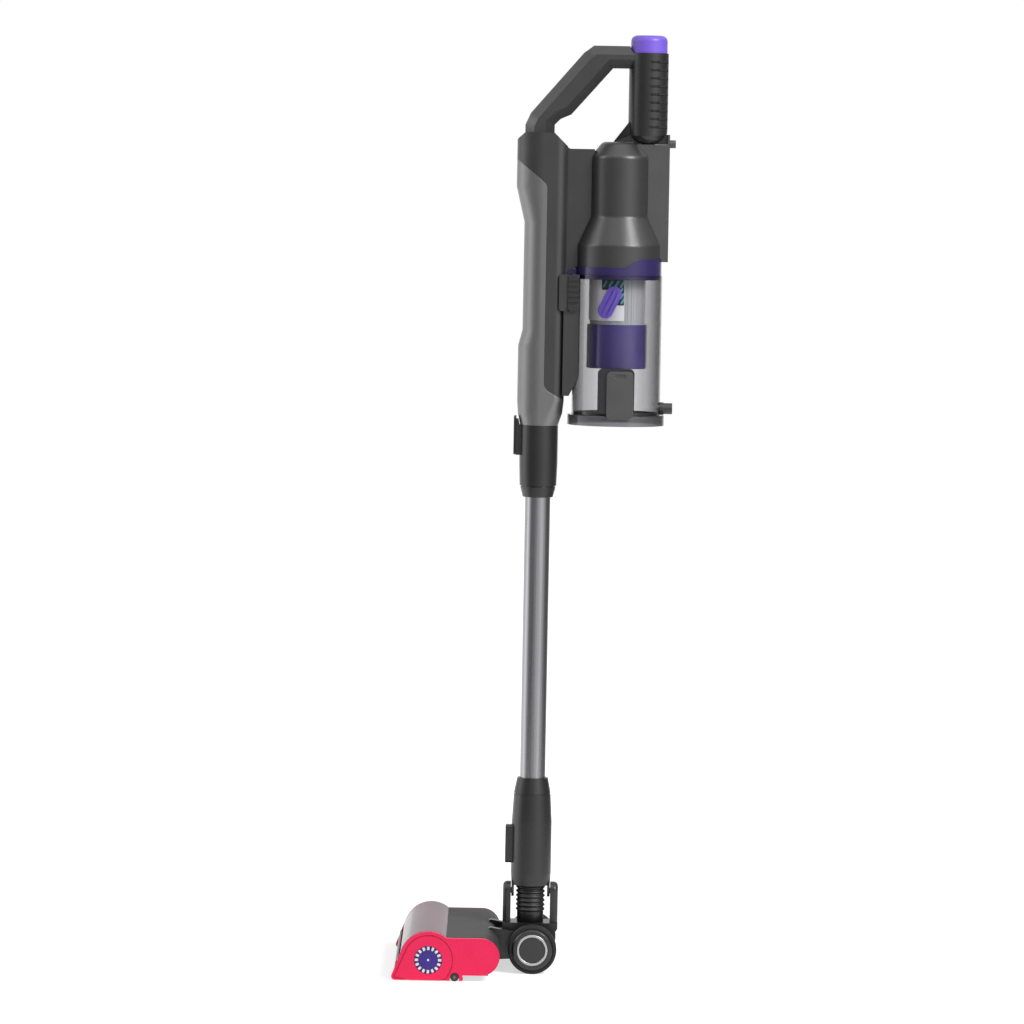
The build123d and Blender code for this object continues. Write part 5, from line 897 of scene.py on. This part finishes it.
# Stage: a pale paper floor that keeps the shadow, fades to the background's white and is open from below
def paper_floor():
    floor_r = 9.0
    tooth_mm = 6
    fade_from, fade_to = 0.5, 1.6
    made, tree, shader, coords = start("pale paper floor", Roughness=0.9, Base_Color=linear("#f4f4f4"))
    tooth = add(tree, "ShaderNodeTexNoise", {"Vector": coords, "Scale": 1 / (tooth_mm * MM), "Detail": 3.0})
    bump = add(
        tree, "ShaderNodeBump", {"Strength": 0.05, "Distance": 0.1 * MM, "Height": tooth.outputs["Fac"]}
    )
    tree.links.new(bump.outputs["Normal"], shader.inputs["Normal"])
    away = add(tree, "ShaderNodeVectorMath", {0: coords}, operation="LENGTH").outputs["Value"]
    fade = add(
        tree,
        "ShaderNodeMapRange",
        {"Value": away, "From Min": fade_from, "From Max": fade_to, "To Min": 0.6, "To Max": 1.0},
    )
    glow = add(tree, "ShaderNodeEmission", {"Color": (1, 1, 1, 1), "Strength": fade.outputs["Result"]})
    lit = add(tree, "ShaderNodeAddShader", {0: shader.outputs[0], 1: glow.outputs[0]})
    from_above = add(
        tree, "ShaderNodeMixShader", {0: seen_directly(tree), 1: shader.outputs[0], 2: lit.outputs[0]}
    )
    below = add(tree, "ShaderNodeNewGeometry").outputs["Backfacing"]
    open_air = add(tree, "ShaderNodeBsdfTransparent")
    mix = add(tree, "ShaderNodeMixShader", {0: below, 1: from_above.outputs[0], 2: open_air.outputs[0]})
    tree.links.new(mix.outputs[0], tree.nodes["Material Output"].inputs["Surface"])
    bm = bmesh.new()
    bmesh.ops.create_circle(bm, cap_ends=True, radius=floor_r, segments=96)
    mesh = bpy.data.meshes.new("paper_floor")
    bm.to_mesh(mesh)
    bm.free()
    mesh.materials.append(made)
    floor = bpy.data.objects.new("paper_floor", mesh)
    bpy.context.scene.collection.objects.link(floor)


paper_floor()


# Light: a broad key on the right, a strip on the left for the long edge highlight, and a soft top
def softbox(name, place_at, aim, width, height, power):
    lamp = bpy.data.lights.new(name, "AREA")
    lamp.shape = "RECTANGLE"
    lamp.size = width
    lamp.size_y = height
    lamp.energy = power
    made = bpy.data.objects.new(name, lamp)
    made.location = place_at
    made.rotation_euler = (Vector(aim) - Vector(place_at)).to_track_quat("-Z", "Y").to_euler()
    bpy.context.scene.collection.objects.link(made)


softbox("key softbox", (2.6, -2.7, 3.3), aim=(0, 0, 0.6), width=1.6, height=1.6, power=165)
softbox("left softbox", (-3.4, -0.9, 2.6), aim=(0, 0, 0.6), width=0.8, height=1.6, power=22)
softbox("top softbox", (0.0, -1.2, 3.4), aim=(0, 0, 0.5), width=2.6, height=2.0, power=16)

# Level of the light tent's panels, by the angle in degrees from the camera's side toward the right
TENT_LEVELS = (
    (-105, 2.4),
    (-88, 1.8),
    (-62, 0.3),
    (-35, 0.2),
    (-10, 0.45),
    (20, 0.9),
    (41, 1.35),
    (60, 0.9),
    (85, 0.25),
    (116, 0.14),
    (150, 0.3),
)


# Light tent round the camera's side, seen only in reflections: bright and dark panels that draw the long
# soft highlights down tube, column and motor cover
def light_tent():
    made, tree, shader, coords = start("light tent cloth", Roughness=1.0, Base_Color=linear("#050505"))
    quarter_turn = math.radians(90)
    around = add(tree, "ShaderNodeMapping", {"Vector": coords, "Rotation": (0, 0, quarter_turn)})
    turn = add(tree, "ShaderNodeTexGradient", {"Vector": around.outputs["Vector"]}, gradient_type="RADIAL")
    panels = add(tree, "ShaderNodeValToRGB", {"Fac": turn.outputs["Fac"]})
    stops = panels.color_ramp.elements
    while len(stops) < len(TENT_LEVELS):
        stops.new(0.5)
    for stop, (degrees, level) in zip(stops, TENT_LEVELS):
        stop.position = degrees / 360 + 0.5
        stop.color = (level, level, level, 1.0)
    tree.links.new(panels.outputs["Color"], shader.inputs["Emission Color"])
    shader.inputs["Emission Strength"].default_value = 1.0
    first, last = (math.radians(TENT_LEVELS[i][0]) for i in (0, -1))
    near, reach, low, high = 0.9, 5.4, 0.004, 3.6
    bm = bmesh.new()
    side = Vector((math.sin(first), -math.cos(first), 0))
    row = [bm.verts.new(side * r + Vector((0, 0, z))) for r, z in ((near, low), (reach, low), (reach, high))]
    edges = [bm.edges.new(pair) for pair in zip(row, row[1:])]
    bmesh.ops.spin(bm, geom=[*row, *edges], cent=(0, 0, 0), axis=(0, 0, 1), angle=last - first, steps=60)
    mesh = bpy.data.meshes.new("light_tent")
    bm.to_mesh(mesh)
    bm.free()
    mesh.materials.append(made)
    tent = bpy.data.objects.new("light_tent", mesh)
    tent.visible_camera = False
    tent.visible_diffuse = False
    tent.visible_shadow = False
    bpy.context.scene.collection.objects.link(tent)


light_tent()

# World: even fill light; the camera, mirrors and clear pieces see white
world = bpy.data.worlds.new("studio")
bpy.context.scene.world = world
world.use_nodes = True
sky = world.node_tree
seen = seen_directly(sky)
FILL_LEVEL, WHITE_LEVEL = 0.14, 1.0
strength = add(sky, "ShaderNodeMapRange", {"Value": seen, "To Min": FILL_LEVEL, "To Max": WHITE_LEVEL})
background = sky.nodes["Background"]
background.inputs["Color"].default_value = (1, 1, 1, 1)
sky.links.new(strength.outputs["Result"], background.inputs["Strength"])

# Camera: level long lens high on the left side, shifted down to the object, with the photo's slight lean
CAMERA_AHEAD, CAMERA_AWAY, CAMERA_HEIGHT = 0.0375, 6.0, 0.936
CAMERA_AT = Vector((WAND_X - CAMERA_AHEAD, -CAMERA_AWAY, CAMERA_HEIGHT))
CAMERA_LEAN = math.radians(1.06)
lens = bpy.data.cameras.new("camera")
lens.sensor_width = 36.0
lens.lens = 178.2
lens.shift_y = -0.329
camera = bpy.data.objects.new("camera", lens)
facing = Vector((0, 1, 0)).to_track_quat("-Z", "Y").to_matrix().to_4x4()
camera.matrix_world = Matrix.Translation(CAMERA_AT) @ facing @ Matrix.Rotation(CAMERA_LEAN, 4, "Z")
bpy.context.scene.collection.objects.link(camera)
bpy.context.scene.camera = camera
bpy.context.scene.view_settings.view_transform = "Standard"
